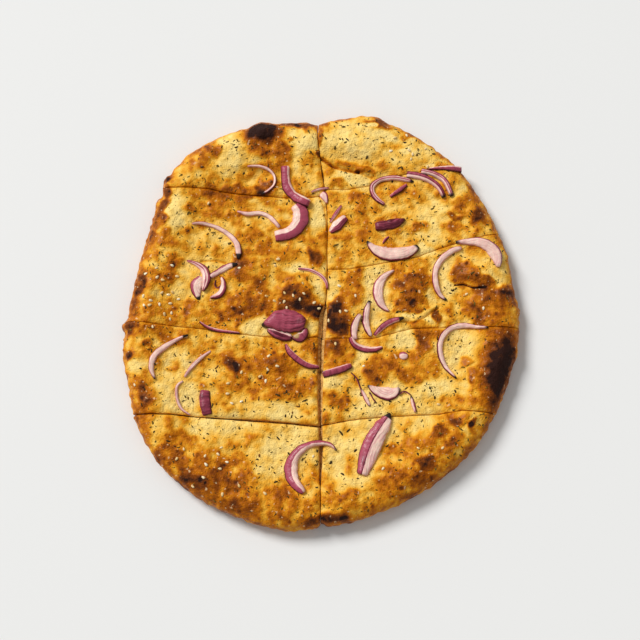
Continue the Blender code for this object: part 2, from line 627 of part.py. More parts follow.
def grain_places():
    """Seeds first, then flakes, spread evenly over the crust and clear of the onion and of the cuts."""
    picker = random.Random(27)
    places = []

    def free(x, y):
        if inset_of(x, y) < 6.0 or knife_distance(x, y) < GRAIN_CLEAR:
            return False
        if any(math.hypot(x - px, y - py) < GRAIN_APART for _, px, py, _ in places):
            return False
        return clear_of_onions(x, y)

    wanted = [("seed", SEED_COUNT), ("flake", FLAKE_COUNT)]
    for kind, count in wanted:
        made = 0
        for _ in range(20000):
            if made == count:
                break
            if kind == "seed" and picker.random() < SEED_PATCH_SHARE:
                cx, cy, reach = picker.choice(SEED_PATCHES)
                turn, far = picker.uniform(0.0, math.tau), reach * math.sqrt(picker.random())
                x, y = cx + far * math.cos(turn), cy + far * math.sin(turn)
            else:
                x, y = picker.uniform(-105.0, 105.0), picker.uniform(-110.0, 112.0)
            if free(x, y):
                places.append((kind, x, y, picker.uniform(0.0, math.pi)))
                made += 1
    return places


def grain(kind, x, y, turn, tree):
    """A seed or a flake, lying on the crust and sunk a little into it."""
    spot, normal, _, _ = tree.ray_cast(Vector((x * MM, y * MM, 0.08)), Vector((0.0, 0.0, -1.0)))
    halves = SEED_HALVES if kind == "seed" else FLAKE_HALVES
    mesh = bmesh.new()
    bmesh.ops.create_uvsphere(mesh, u_segments=6, v_segments=4, radius=1.0)
    lift = normal * (halves[2] * MM * GRAIN_SUNK)
    lie = normal.to_track_quat("Z", "Y").to_matrix().to_4x4()
    size = Matrix.Diagonal([half * MM for half in halves] + [1.0])
    bmesh.ops.transform(mesh, matrix=Matrix.Translation(spot + lift) @ lie @ Matrix.Rotation(turn, 4, "Z") @ size, verts=mesh.verts)
    return finish_mesh("grain", mesh, CRUST)


def join_grains(piece, places):
    """One Boolean union sets all of a piece's seeds and flakes into its crust."""
    tree = tree_of(piece)
    group = bpy.data.collections.new("grains")
    for kind, x, y, turn in places:
        made = grain(kind, x, y, turn, tree)
        bpy.context.scene.collection.objects.unlink(made)
        group.objects.link(made)
    union = piece.modifiers.new("grains", "BOOLEAN")
    union.operation = "UNION"
    union.operand_type = "COLLECTION"
    union.collection = group
    union.solver = "MANIFOLD"
    bpy.context.view_layer.objects.active = piece
    bpy.ops.object.modifier_apply(modifier=union.name)
    for made in list(group.objects):
        bpy.data.objects.remove(made, do_unlink=True)
    bpy.data.collections.remove(group)


def tree_of(made):
    mesh = bmesh.new()
    mesh.from_mesh(made.data)
    tree = BVHTree.FromBMesh(mesh)
    mesh.free()
    return tree


def centre_on_origin(nodes):
    """Moves everything so that the box around it is centred on the origin."""
    corners = [vert.co for node in nodes for vert in node.data.vertices]
    shift = [-(min(c[k] for c in corners) + max(c[k] for c in corners)) / 2 for k in (0, 1)]
    for node in nodes:
        for vert in node.data.vertices:
            vert.co.x += shift[0]
            vert.co.y += shift[1]


clear_scene()
CRUST = material("crust", (0.72, 0.42, 0.13), 0.55, 0.1)
ONION_SKIN = material("onion", (0.45, 0.12, 0.2), 0.35, 0.3)

FLAT, CELLS = bread_cells()
PLACES = grain_places()
NODES = []
for NAME in sorted(CELLS):
    PIECE = bread_piece(NAME, FLAT, CELLS[NAME])
    join_grains(PIECE, [place for place in PLACES if cell_of(place[1], place[2]) == NAME])
    NODES.append(PIECE)
TREES = [tree_of(node) for node in NODES]
for NAME, TALL, POINTS in ONIONS:
    SLICE = onion_slice(NAME, TALL, POINTS, TREES)
    NODES.append(SLICE)
    TREES.append(tree_of(SLICE))
centre_on_origin(NODES)
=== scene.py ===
"""A round baked flatbread in nine hand-cut pieces, with slices of red onion, sesame seeds and herb flakes.

Sizes are in millimetres until they go into a mesh. The places of the crust's patches, of the cuts and of the
onion were read on one grid of millimetres, whose origin GRID_ORIGIN gives in the row frame.
"""
import math
import random

import bmesh
import bpy
import numpy as np
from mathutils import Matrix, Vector
from mathutils.bvhtree import BVHTree


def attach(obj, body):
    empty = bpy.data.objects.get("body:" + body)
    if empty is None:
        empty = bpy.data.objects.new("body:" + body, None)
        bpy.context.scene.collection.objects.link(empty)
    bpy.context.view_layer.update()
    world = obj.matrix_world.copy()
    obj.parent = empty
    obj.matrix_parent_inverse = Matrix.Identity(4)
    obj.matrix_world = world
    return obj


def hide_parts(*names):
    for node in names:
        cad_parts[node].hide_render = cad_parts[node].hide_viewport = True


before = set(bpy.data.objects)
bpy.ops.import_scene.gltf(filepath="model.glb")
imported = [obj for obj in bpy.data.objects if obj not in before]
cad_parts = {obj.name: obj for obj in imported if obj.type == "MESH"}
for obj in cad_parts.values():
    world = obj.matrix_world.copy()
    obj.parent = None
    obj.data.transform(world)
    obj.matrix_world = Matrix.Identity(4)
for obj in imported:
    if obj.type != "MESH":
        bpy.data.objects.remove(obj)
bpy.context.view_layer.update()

bl_info = {
    "name": "Flatbread with red onion",
    "version": (1, 0, 0),
    "blender": (4, 5, 0),
    "location": "3D View > Sidebar > Flatbread",
    "description": "Bakes a cut flatbread and lays onion, seeds and herbs on it",
    "category": "Object",
}

MM = 0.001
GRID_ORIGIN = (-0.08, -1.22)
# A distance beyond everything, and how many cells of noise there are before it repeats
FAR = 1e3
CELLS = 64
# No point of the crust, of a slice, or of a seed or flake lies higher than this
CRUST_CEILING = 16.8
SLICE_CEILING = 16.9
GRAIN_CEILING = 16.95
# Where a ray that looks for a support starts
RAY_FROM = 80.0

# The bread's outline: its radius every ten degrees from +X, about EDGE_CENTRE
EDGE_CENTRE = (0.0, 1.3)
EDGE_RADII = (
    103.3, 102.7, 103.9, 105.0, 106.9, 109.5, 110.8, 112.2, 111.4,
    107.0, 108.4, 110.9, 112.9, 113.3, 110.4, 103.4, 100.4, 99.8,
    100.9, 104.9, 106.5, 110.4, 112.9, 113.7, 113.3, 112.7, 112.4,
    109.6, 107.5, 105.7, 105.0, 104.8, 104.6, 103.8, 103.0, 103.8,
)
# Lumps and dents of the outline: angle and half width in degrees, height
EDGE_LUMPS = (
    (2.5, 4, 0.8), (75.5, 5, 2), (91, 2.6, -1.4), (107, 4.2, 2), (138, 1.8, 1.2), (142, 1.8, -1.8),
    (182.8, 2.2, 2.6), (270.3, 1.4, -1.8), (349, 3, 0.8),
)

# The bread's section
EDGE_HEIGHT = 5.4
EDGE_BAND = 1.2
RIM_WIDTH = 11.0
RIM_HEIGHT = 13.6
INNER_FROM_EDGE = 30.0
INNER_HEIGHT = 10.9
UNDERSIDE_ROUNDING = 7.0
# The disc that the bread is shaped from: radius, half thickness, rounding, and widths of the rings of its top
DISC_RADIUS = 100.0
DISC_HALF = 6.0
DISC_BEVEL = 5.5
DISC_RINGS = (3.0, 4.0, 4.0, 4.0, 4.0, 4.0)

# Blisters and hollows of the crust: x, y, half length, half width, turn in degrees, height
CRUST_LUMPS = (
    (19, 92, 18, 9, -8, 2.3), (-9, 96, 9, 11, 0, 1.6), (-31, 101.5, 8.5, 7.5, 0, 3.2),
    (-48, 88, 10, 12, 20, 1), (-63, 89, 9, 7, 30, 1.2), (-71, 61, 9, 7, 0, 1.2),
    (93.5, -27, 8, 20, -11, 2.4), (97, 12, 7, 9, 0, 1.6), (82, 55, 8, 8, 0, 1.2),
    (81, 23, 13, 7, -10, 2), (48, 15, 13, 16, 0, 1.9), (-11, 13, 13, 11, 0, 1.6), (9, -2, 7, 10, 0, 1.2),
    (-22, -24, 15, 9, 0, 1.5), (-42, 22, 15, 14, 0, 1.4), (-90, 20, 7, 13, 0, 0.8),
    (53, -66, 11, 8, 25, 1.6), (-56, -82, 15, 8, -35, 1), (5, -103, 8, 5, 0, 1.3),
    (-36, 76, 11, 9, 0, -1.6), (-53, 42, 9, 7, 0, -1.2), (-13, 74, 6, 7, 0, -1), (41, 69, 9, 6, 0, -1),
    (72, -17, 9, 11, 0, -1.4), (28, 0, 5, 6, 0, -0.8), (-6, -78, 7, 9, 0, -0.8),
    (78, 34, 10, 6, 0, -0.8), (-78, -26, 7, 8, 0, -1), (-20, -62, 16, 6, 0, -0.6),
    (-60, 18, 8, 7, 0, -0.8),
)
# Long waves of the crust: how many, their height and the range of their lengths
CRUST_WAVES = 5
CRUST_WAVE_HEIGHT = 0.22
CRUST_WAVE_LENGTHS = (16.0, 34.0)
# Bubbles of the dough in layers: height, size of the cells, the share of them that holds one, seed
CRUST_BUBBLES = ((0.60, 9.0, 0.5, 24), (0.36, 4.2, 0.5, 25), (-0.45, 5.2, 0.3, 26))

# The knife cuts: points along each cut and its width there
LONG_CUT = (
    (-1, 118, 0.6), (-1.8, 98, 0.6), (-0.6, 88, 0.7), (0.9, 78, 1.4), (2.2, 68, 0.7), (3.2, 58, 0.9),
    (3.5, 47, 0.8), (3.2, 36, 0.6), (3.4, 20, 0.6), (2.6, 9, 0.8), (1.1, 1, 4.2), (0.8, -6, 4),
    (0.2, -12, 3.4), (-0.3, -25, 3), (-0.5, -42, 2.5), (-0.3, -55, 1.9), (0, -70, 1.9), (-0.4, -85, 1.4),
    (-0.2, -93, 0.6), (-0.3, -118, 0.6),
)
LEFT_CUTS = (
    ((-120, 71, 0.6), (-84, 70.6, 0.6), (-60, 69.9, 0.6), (-50, 67.8, 0.8), (-38, 66.5, 0.8),
     (-18, 65.1, 0.6), (6, 66.5, 0.6)),
    ((-120, -2, 0.6), (-98, -2.2, 0.6), (-80, -4.1, 0.6), (-60, -6, 0.6), (-38, -9, 0.6),
     (-16, -11, 0.6), (6, -9.6, 0.6)),
    ((-120, -50.5, 0.6), (-78, -50.7, 0.6), (-56, -52.6, 0.9), (-38, -53.5, 1.5), (-14, -55.5, 1.4),
     (6, -57.6, 1.6)),
)
RIGHT_CUTS = (
    ((-6, 69.8, 0.6), (14, 69.6, 0.6), (26, 72, 0.6), (44, 77.6, 0.6), (60, 80, 0.6), (120, 84, 0.6)),
    ((-6, 25.8, 0.6), (15, 26.3, 0.6), (34, 29.6, 0.6), (50, 32.8, 0.6), (64, 37.8, 0.6),
     (84, 43.2, 0.6), (120, 51, 0.6)),
    ((-6, -10.6, 0.6), (26, -11.2, 0.6), (46, -5.9, 0.6), (64, -5.2, 0.6), (84, -5.2, 0.6),
     (120, -5.6, 0.6)),
    ((-6, -57.6, 1.3), (15, -53.6, 1.1), (38, -51.6, 1), (60, -50.7, 0.9), (72, -48.9, 0.6),
     (120, -52.5, 0.6)),
)
KNIFE_ROUNDING = 3.0
# The walls that stand for the knife: where they start below the bread, how tall they are, their step
SLAB_FOOT = -5.0
SLAB_HEIGHT = 30.0
SLAB_STEP = 2.5
# Cuts wider than this stay open at the top. Their ledge of crumb starts at this share of the height and takes
# up this share of it. The slit below the ledge has this share of their width.
OPEN_WIDTH = 0.9
LEDGE_AT = 0.72
LEDGE_SHARE = 0.10
SLIT_SHARE = 0.05
# For each cut, from the back to the front: how far the crust sinks beside it,
# and how wide it stays where it looks closed
LONG_CUT_LOOK = (0.8, 0.24)
LEFT_CUT_LOOKS = ((0.8, 0.22), (0.6, 0.16), (1.0, 0.6))
RIGHT_CUT_LOOKS = ((0.3, 0.1), (0.3, 0.12), (0.4, 0.12), (0.8, 0.24))

# Creases and cracks of the crust: points along each, then half width, depth and how dark the painted shade in
# it is
CREASES = (
    (((0.5, 86.5), (6, 82.3), (12, 80.6), (20, 79)), 1.3, 1.7, 0.42),
    (((20, 79), (27, 76.2)), 1, 0.9, 0.2),
    (((70, 17.5), (75, 17.6), (80, 15.5), (86, 15.8)), 0.6, 1.6, 0.8),
    (((-63, 30.5), (-55, 30.8), (-50, 29.5)), 0.8, 0.7, 0.2),
    (((40, -1.2), (48, -3), (54, 0), (61, 5)), 0.9, 0.8, 0.2),
    (((-1, 66), (1.5, 60), (2.6, 52), (3, 47)), 0.7, 0.5, 0.3),
)
# Raised folds: points along each, then half width, height and how far they are baked
RIDGES = (
    (((9, 84.4), (18, 82.6), (28, 79)), 2.6, 1.2, 0.55),
    (((40, 0.6), (48, -1), (53, 1.6), (60, 6.4)), 1.6, 0.7, 0.12),
)

# How far the crust is baked: 0 pale to 1 charred, below 0 for the palest places. The patches are painted from
# large to small, over BAKE_BASE. Each is x from, x to, y from, y to and its bake. Two of them also darken for
# painted shade, as noted beside them.
BAKE_BASE = 0.31
BAKES = (
    (-38, -18, 88, 97, 0.53), (-29, -18, 80, 88, 0.38), (-55, -40, 80, 102, 0.06),
    (-62, -54, 86, 95, 0.5), (-70, -58, 74, 90, 0.45), (-60, -50, 78, 82, 0.26),
    (-66, -38, 65, 72, 0.54), (-60, -53, 66, 72, 0.64), (-46, -35, 66, 71, 0.62),
    (-70, -62, 68, 80, 0.28), (-84, -79, 73, 77, 0.9), (-85, -80, 65, 72, 0.74),
    (-87, -80, 56, 64, 0.66), (-89, -81, 49, 57, 0.68), (-91, -86, 44, 50, 0.58),
    (-82, -72, 46, 66, 0.02), (-70, -60, 57, 66, 0.36), (-62, -46, 54, 70, 0.45),
    (-80, -72, 34, 46, 0.24), (-90, -78, 38, 46, 0.48), (-60, -46, 38, 50, 0.08),
    (-40, -29, 38, 50, 0.42), (-20, -2, 90, 105, 0.05), (-18, -14, 94, 98, 0.42),
    # (-2, 1, 86, 91) is painted shade in the crack of the long cut
    (-20, 0, 103, 111, 0.8), (-3, 1, 92, 104, 0.55), (-2, 1, 86, 91, 0.8), (2, 35, 85, 107, 0.07),
    (23, 38, 103, 110, 0.62), (24, 30, 103, 107, -0.1), (33, 39, 96, 100, -0.1), (42, 48, 90, 94, -0.08),
    (54, 60, 80, 84, -0.08), (18, 28, 77.5, 81, 0.6), (3, 28, 68, 82, 0.08), (6, 15, 70, 76, 0.42),
    (-15, -2, 66, 90, 0.26), (-8, 0, 80, 88, 0.28), (-36, -18, 50, 64, 0.27), (-34, -22, 66, 74, 0.62),
    (-5, 3, 47, 68, 0.06), (14, 22, 55, 70, 0.42), (18, 26, 42, 58, 0.45), (-5, 8, 36, 46, 0.36),
    (38, 70, 82, 102, 0.16), (42, 50, 98, 102, 0.55), (60, 70, 86, 94, 0.5), (70, 85, 60, 80, 0.26),
    (77, 86, 62, 72, 0.64), (70, 80, 57, 65, 0.38), (79, 88, 50, 60, 0.66), (66, 74, 53, 57, 0.66),
    (65, 78, 45, 52, 0.46), (48, 56, 46, 53, 0.48), (50, 65, 40, 64, 0.07), (40, 46, 42, 50, 0.33),
    (-98, -77, -2, 40, 0.36), (-84, -76, 20, 30, 0.52), (-97, -90, 12, 22, 0.74),
    (-103, -93, 0, 30, 0.6), (-75, -58, 9, 35, 0.16), (-72, -60, 0, 9, 0.42), (-57, -34, -3, 11, 0.48),
    (-48, -40, 4, 8, 0.7), (-45, -35, 20, 38, 0.55), (-98, -68, -14, 0, 0.44),
    (-92, -87, -17, -13, 0.62), (-102, -98, -23, -17, 0.72), (-104, -99, -10, -1, 0.66),
    (-100, -92, -30, -22, 0.06), (-82, -68, -34, -16, 0.07), (-76, -64, -22, -12, 0.27),
    (-79, -73, -28, -22, 0.38), (-60, -50, -36, -25, 0.24), (-49, -43, -28, -20, 0.8),
    (-50, -36, -31, -18, 0.5), (-42, -34, -10, -2, 0.06), (-36, -10, 28, 40, 0.36),
    (-5, 0, 29, 36, 0.66), (-20, -6, 24, 30, 0.06), (-40, -27, 2, 22, 0.55), (-22, -6, 3, 15, 0.78),
    (-8, 2, 0, 8, 0.92), (-5, 3, 12, 24, 0.06), (4, 10, 10, 24, 0.12), (8, 22, 4, 24, 0.45),
    (3.5, 13, -10, 10, 0.82), (1, 11, -19, -11, 0.76), (2, 16, -26, -12, 0.45), (20, 36, -2, 28, 0.08),
    (14, 30, -30, -15, 0.08), (-36, -28, -12, 0, 0.06), (-8, 0, -8, -2, 0.06),
    (-32, -14, -29, -20, 0.58), (-36, -8, -48, -28, 0.45), (-8, -1, -22, -12, 0.5),
    (-12, -2, -50, -42, 0.34), (0, 12, -37, -30, 0.06), (20, 38, -34, -21, 0.5), (38, 56, 2, 25, 0.56),
    (43, 49, 15, 23, 0.62), (45.5, 48.5, 5.5, 8.5, 0.85), (55, 60, 5, 15, 0.12), (40, 64, -2, 3, 0.04),
    (38, 64, -9, -2, 0.5), (36, 50, -18, -6, 0.07), (50, 58, -20, -8, 0.58), (36, 54, -33, -22, 0.47),
    (50, 70, -42, -33, 0.06), (32, 50, -58, -45, 0.22), (61, 72, 10, 36, 0.06), (68, 84, 19, 29, 0.6),
    (78, 90, 13, 21, 0.64), (77, 96, -3, 16, 0.55), (92, 104, 5, 18, 0.68), (80, 98, 18, 36, 0.13),
    (58, 62, -2, 3, 0.64), (62, 84, -32, -6, 0.06), (70, 78, -28, -20, 0.34), (86, 94, -42, -12, 0.5),
    (76, 83, -36, -28, 0.52), (-98, -84, -60, -35, 0.44), (-95, -88, -50, -38, 0.66),
    (-84, -60, -50, -35, 0.06), (-70, -34, -62, -50, 0.06), (-70, -34, -75, -60, 0.36),
    (-86, -70, -84, -68, 0.54), (-74, -56, -98, -82, 0.66), (-58, -34, -107, -92, 0.56),
    (-84, -40, -96, -60, 0.54), (-72, -66, -90, -83, 0.72), (-60, -52, -93, -86, 0.6),
    (-50, -34, -105, -87, 0.56), (-36, 0, -54, -44, 0.06), (-30, -2, -80, -56, 0.07),
    (-36, -24, -80, -70, 0.08), (-36, -4, -109, -88, 0.46), (-8, 12, -110, -102, 0.74),
    (2, 28, -90, -58, 0.07), (16, 56, -62, -34, 0.07), (6, 14, -48, -40, 0.4), (0, 38, -106, -90, 0.38),
    # (2, 16, -110, -103) darkens the front rim's side: partly baked brown, partly painted shade
    (12, 20, -82, -70, 0.32), (2, 16, -110, -103, 0.84), (30, 50, -92, -76, 0.5),
    (70, 88, -56, -36, 0.3), (66, 72, -56, -50, 0.66), (76, 80, -58, -54, 0.82), (56, 64, -64, -56, 0.8),
    (40, 58, -70, -60, 0.42), (56, 76, -75, -55, 0.42), (36, 54, -100, -82, 0.5),
    (34, 86, -102, -56, 0.36), (52, 60, 31, 39, 0.02), (50, 72, -90, -70, 0.48),
    (50, 58, -78, -72, 0.76), (68, 82, -76, -64, 0.38),
)
# Charred places: x, y, half length, half width, turn in degrees, and how soft the edge is, as a share of them
CHARS = (
    (-31, 101.8, 8.2, 6.4, 0, 0.6), (93.2, -28, 8.6, 20, -7, 0.7),
)

# Slices of onion. A slice lies on what comes before it in this list. Each is its name, height and look, then
# points along its middle with its width there. The look is the side of its purple skin (1 left of the way its
# points run, -1 right), the skin's share of the width, how dark the slice is, and how scorched its first and
# last tips are.
ONIONS = (
    ("onion_01", 1.5, (1, 0.3, 0.3, 0.3, 1), ((-39, 82.1, 0.8), (-33, 82.2, 1.4), (-27.5, 80.2, 1.5),
     (-24.6, 76.4, 1.5), (-24.8, 72, 1.4), (-28, 68.6, 1.3), (-31.2, 66.8, 0.9))),
    ("onion_02", 2.8, (1, 0.54, 0.3, 0, 0), ((-13.2, 61, 6.4), (-10.9, 57, 7.6), (-10.9, 52, 7.8),
     (-13.2, 48, 7.2), (-17.5, 45.2, 6.6), (-24.2, 43.9, 5.6))),
    ("onion_03", 2.6, (-1, 0.76, 0.4, 0.1, 0.1), ((-19, 82.2, 4.4), (-18.9, 76, 4.6),
     (-17.8, 70.5, 4.7), (-14.6, 66.2, 4.7), (-10.5, 63.2, 4.7), (-6.2, 61.4, 4.6))),
    ("onion_04", 1.8, (1, 0.18, 0.2, 0.2, 0), ((-44.2, 57.4, 0.9), (-39, 56, 2), (-33, 56.6, 2.3),
     (-28, 55, 2.3), (-24.2, 51.4, 2.2), (-22, 48.6, 1.8))),
    ("onion_05", 2, (1, 0.16, 0.5, 0.3, 2.2), ((-68, 50.6, 0.9), (-62, 50.8, 1.7), (-55, 48.7, 2),
     (-48.8, 44.9, 2.3), (-44.6, 40.2, 2.7), (-43.2, 35.5, 3), (-43.4, 31.4, 1.6))),
    ("onion_06", 1.7, (-1, 0.3, 0.3, 0, 1), ((-62.6, 21.6, 3), (-64.8, 18, 6), (-65.2, 14.2, 5),
     (-63.7, 9.6, 1.4))),
    ("onion_07", 2, (1, 0.32, 0.3, 0.2, 0.2), ((-70.4, 30.6, 0.9), (-66, 29.2, 2.2), (-61.6, 26.2, 3.6),
     (-59.9, 21.6, 4.2), (-60.4, 17.4, 3.2), (-61.6, 14.2, 1.2))),
    ("onion_08", 1.8, (-1, 0.34, 0.4, 2.4, 0), ((-43.9, 28.6, 1.2), (-48, 27.8, 2.8),
     (-52.8, 25.2, 3.2), (-57.8, 21.8, 2.4))),
    ("onion_09", 2, (1, 0.42, 0.4, 0, 0.3), ((-52, 21.4, 1.4), (-50.9, 18, 2.8), (-51.6, 14, 3.4),
     (-54, 11.6, 3), (-57.8, 10.5, 1))),
    ("onion_10", 1.5, (1, 0.18, 0, 0.2, 0.2), ((-12, 26.3, 0.9), (-6, 25.6, 1.6), (-0.6, 22.9, 1.8),
     (2.6, 19.2, 1.6), (3.3, 15.6, 0.9))),
    ("onion_11", 1.6, (-1, 0.66, 0.7, 0.4, 0.4), ((-27.8, -6.4, 2), (-23.6, -8.2, 4.8),
     (-19.2, -9.8, 5), (-15.2, -10.8, 3))),
    ("onion_12", 2.4, (1, 0.8, 0.8, 0.2, 0.5), ((-8.2, -5.8, 2.4), (-8.4, -8.6, 3.6),
     (-10.8, -10.6, 4.8), (-14.8, -10.8, 2.4))),
    ("onion_13", 3.8, (-1, 1, 0.4, 1, 0.3), ((-30.8, -4.2, 0.9), (-26, -2.8, 6.6), (-20.6, -1.9, 11.2),
     (-15, -2.4, 10.8), (-10.4, -3.2, 8), (-8.2, -3.6, 5.6))),
    ("onion_14", 1.5, (-1, 0.7, 0.4, 0.5, 0.5), ((-63.2, -2.2, 0.9), (-59.6, -4.8, 1.5),
     (-53, -6.9, 1.7), (-42.4, -8.2, 1))),
    ("onion_15", 2.2, (-1, 0.86, 0.5, 0.3, 0.3), ((-18.3, -14.2, 1.4), (-16.4, -18.2, 2.8),
     (-12, -22.4, 3), (-6.6, -25.4, 2.8), (-0.9, -26.1, 1.6))),
    ("onion_16", 2, (-1, 0.1, 0.2, 2.6, 0.6), ((-69, -9.4, 0.9), (-74.4, -11.6, 1.7), (-81, -15.6, 2.8),
     (-86.2, -20.6, 3), (-87.6, -27, 2.6), (-85.6, -32.6, 1))),
    ("onion_17", 1.5, (-1, 0.12, -0.2, 0.2, 0.2), ((-57.2, -17.6, 0.9), (-62.6, -21.6, 1.7),
     (-67.4, -26.6, 1.8), (-70.4, -31.4, 1))),
    ("onion_18", 1.4, (-1, 0.14, -0.2, 0.2, 0.2), ((-71.2, -33.6, 1), (-74.2, -36.4, 1.4),
     (-74.1, -42.4, 1.4), (-71.8, -47.8, 1.3), (-67.4, -50.9, 0.9))),
    ("onion_19", 2, (1, 1, 0.9, 0, 0), ((-59.6, -38.3, 4.6), (-59.9, -42, 5.4), (-59.3, -46.5, 5.2),
     (-58.3, -51.2, 4.8))),
    ("onion_20", 3, (-1, 0.55, 0.3, 0.7, 0.1), ((7.9, -69.4, 0.9), (4.4, -66.2, 2), (-2, -65.6, 2.8),
     (-8.6, -67.8, 3.8), (-13.4, -72.2, 5.2), (-15.4, -78.4, 6.4), (-14, -85.2, 5.8), (-8.8, -91.2, 3))),
    ("onion_21", 2.4, (-1, 0.84, 0.6, 0.6, 0.2), ((1, -30.3, 3.2), (5.4, -28.9, 3.6),
     (10.6, -27.4, 3.6), (15.8, -25.2, 2.4))),
    ("onion_22", 3, (-1, 0.46, 0.1, 2.6, 0.3), ((35.4, -50.2, 1.2), (33.2, -54.4, 6),
     (29.4, -60.4, 8.4), (26, -67, 9.2), (23.4, -73.8, 8.4), (20.8, -82, 5))),
    ("onion_23", 2, (-1, 0.16, 0.4, 0.8, 0.6), ((24.2, -35.8, 1), (28.6, -38.6, 4.4), (33.4, -40, 6.4),
     (37.4, -39.6, 5.4), (40.4, -37, 1.6))),
    ("onion_24", 1.5, (-1, 0.2, 0, 0.5, 0.5), ((20.9, -37.8, 1.2), (22.8, -42, 2), (25.1, -46.6, 1.2))),
    ("onion_25", 1.5, (1, 0.5, 0.3, 0.8, 0.2), ((46.4, -41.4, 1), (47.4, -45.4, 1.9),
     (48.6, -49.6, 1.4))),
    ("onion_26", 2, (-1, 0.2, 0.8, 0.8, 0.9), ((86.6, -5.5, 1), (81, -5.1, 1.8), (74.4, -4, 2.8),
     (67.6, -5.6, 2.8), (62.6, -11, 3), (61.6, -18.4, 2.8), (64.4, -26, 2.2), (69.8, -32.2, 1))),
    ("onion_27", 1.9, (-1, 0.22, 0.6, 0.2, 0.2), ((20.3, 1.6, 2.2), (18, -2.6, 3.4), (17, -7.4, 3.6),
     (17.4, -11.6, 3))),
    ("onion_28", 1.9, (-1, 0.62, 0.5, 0.2, 0.2), ((15.2, -10.8, 2.2), (17.6, -14.6, 3),
     (22.6, -16.6, 3.2), (27.4, -16.9, 2.8), (31.8, -15.9, 1.6))),
    ("onion_29", 1.8, (-1, 0.24, 0.6, 1, 0.2), ((25.3, 9, 1.4), (23.8, 4, 3), (23.2, -1.6, 3.4),
     (24.2, -6.4, 3), (25.9, -9.8, 1.6))),
    ("onion_30", 1.8, (1, 0.86, 0.6, 0.2, 2.2), ((27.6, -9.4, 1.8), (32, -4.8, 2.8), (36.8, -1.8, 2.8),
     (43, -0.2, 1.2))),
    ("onion_31", 2.2, (-1, 0.16, 0.1, 0.3, 0.3), ((38.2, 25.2, 0.9), (33.2, 22.1, 3.2), (30.2, 17.4, 5),
     (29.8, 11.8, 5), (31.8, 6.6, 3.4), (35.4, 3.4, 1))),
    ("onion_32", 2.1, (-1, 0.1, 0.4, 0.2, 1), ((73.8, 37.2, 1.6), (69, 35.9, 2.8), (63.4, 31.6, 3),
     (60, 25.4, 3), (59.9, 18, 3), (62, 12.4, 2.4), (65.6, 9.4, 1))),
    ("onion_33", 2.3, (1, 0.16, 0.5, 0.8, 0.1), ((70.8, 40.3, 1), (76.6, 40.4, 3.2), (83, 40, 4.6),
     (88.8, 37, 6.2), (92, 32, 5.6), (92.8, 26.6, 2.2))),
    ("onion_34", 2.8, (-1, 0.12, 0.6, 1, 1), ((24.2, 40.9, 1.2), (28, 36.8, 4.6), (33.8, 34.2, 6.6),
     (40.2, 33.9, 6.8), (46.4, 35.4, 5.6), (51.2, 38.4, 2.4))),
    ("onion_35", 1.3, (1, 0.8, 0.2, 0.2, 0.2), ((35.8, 43.6, 0.9), (33.8, 42, 1.3), (32.6, 39.9, 0.9))),
    ("onion_36", 2.6, (-1, 1, 1, 0.2, 0.5), ((28.6, 49, 4.2), (34, 49.7, 5.2), (39.4, 50.9, 4.8),
     (44.4, 53, 1.2))),
    ("onion_37", 2.2, (-1, 0.52, 0.6, 0.1, 0.1), ((4.8, 46.2, 2.2), (8.6, 49.8, 5.2), (13.2, 54.2, 3.4))),
    ("onion_38", 1.3, (1, 0.8, 0.1, 0.2, 0.2), ((4.8, 51.6, 0.9), (7.6, 56, 1.8), (10.8, 60.6, 1))),
    ("onion_39", 1.2, (1, 0.25, 0, 0, 0.2), ((0.4, 67.8, 3), (2, 65.6, 3.6), (3.2, 62.2, 1))),
    ("onion_40", 1.4, (1, 0.6, 0.2, 0.2, 0.2), ((-5.2, 68.3, 0.9), (-1, 69.8, 1.3), (4.1, 70.6, 0.9))),
    ("onion_41", 2, (-1, 0.34, 0.5, 1, 0.1), ((48.9, 73.4, 1.2), (44, 75, 2.2), (38, 76, 2.4),
     (31.6, 75.1, 2.4), (27.4, 71.8, 2.6), (27.3, 67.6, 2.6), (29.9, 63.8, 2.6), (33.6, 61.2, 1.4))),
    ("onion_42", 1.8, (1, 0.9, 0.6, 0.3, 0.3), ((45.6, 71.9, 1.6), (41.4, 68.9, 2.3), (36.7, 65.4, 1.6))),
    ("onion_43", 2.1, (1, 0.56, 0.6, 0.2, 0.8), ((45.6, 77.6, 3.4), (51.8, 76.4, 3.4), (57.4, 74, 3),
     (62.2, 70.2, 2.8), (65, 64.6, 2))),
    ("onion_44", 2.1, (1, 0.4, 0.5, 0.2, 0.8), ((53.2, 79, 2.6), (60.2, 77.2, 2.9), (65.4, 73.5, 2.9),
     (69.2, 65.2, 2.2))),
    ("onion_45", 2, (-1, 0.7, 0.3, 0.2, 0.3), ((57.2, 80.3, 1), (66, 80.7, 2.4), (74.8, 80.8, 3))),
    ("onion_46", 1.4, (1, 0.3, 0, 0, 0), ((40.6, -20.2, 2.4), (42.7, -20.2, 4), (44.9, -20.2, 2.2))),
)
# Slices seen from the skin's side, whose ribs run along them
PETALS = ("onion_06", "onion_09", "onion_11", "onion_13", "onion_22", "onion_23", "onion_36", "onion_37")
# A dark line within a slice, as a share of its width from the skin's edge
INNER_LINES = {
    "onion_07": 0.55, "onion_10": 0.62, "onion_22": 0.44,
    "onion_41": 0.55, "onion_43": 0.55, "onion_44": 0.55,
}
# Dark threads of skin beside a slice
THREADS = (
    ("onion_24", ((15.5, -29), (18.4, -32), (20, -36), (21.2, -39))),
    ("onion_24", ((25, -39), (26.6, -42.4), (28.5, -45))),
    ("onion_25", ((40, -40.5), (43, -38.8), (46.5, -41))),
    ("onion_09", ((-55, 20), (-55.5, 17.5), (-54.5, 16), (-52.5, 17), (-51.8, 19.5))),
)
THREAD_LOOK = (1, 1.0, 1.0, 0.6, 0.6)
THREAD_SIZE = 0.7
# The tan heart of the bulb in the scraps under onion_13: x, y, reach
ONION_HEART = (-12.8, -9.8, 2.0)
HEART_SLICES = ("onion_11", "onion_12")
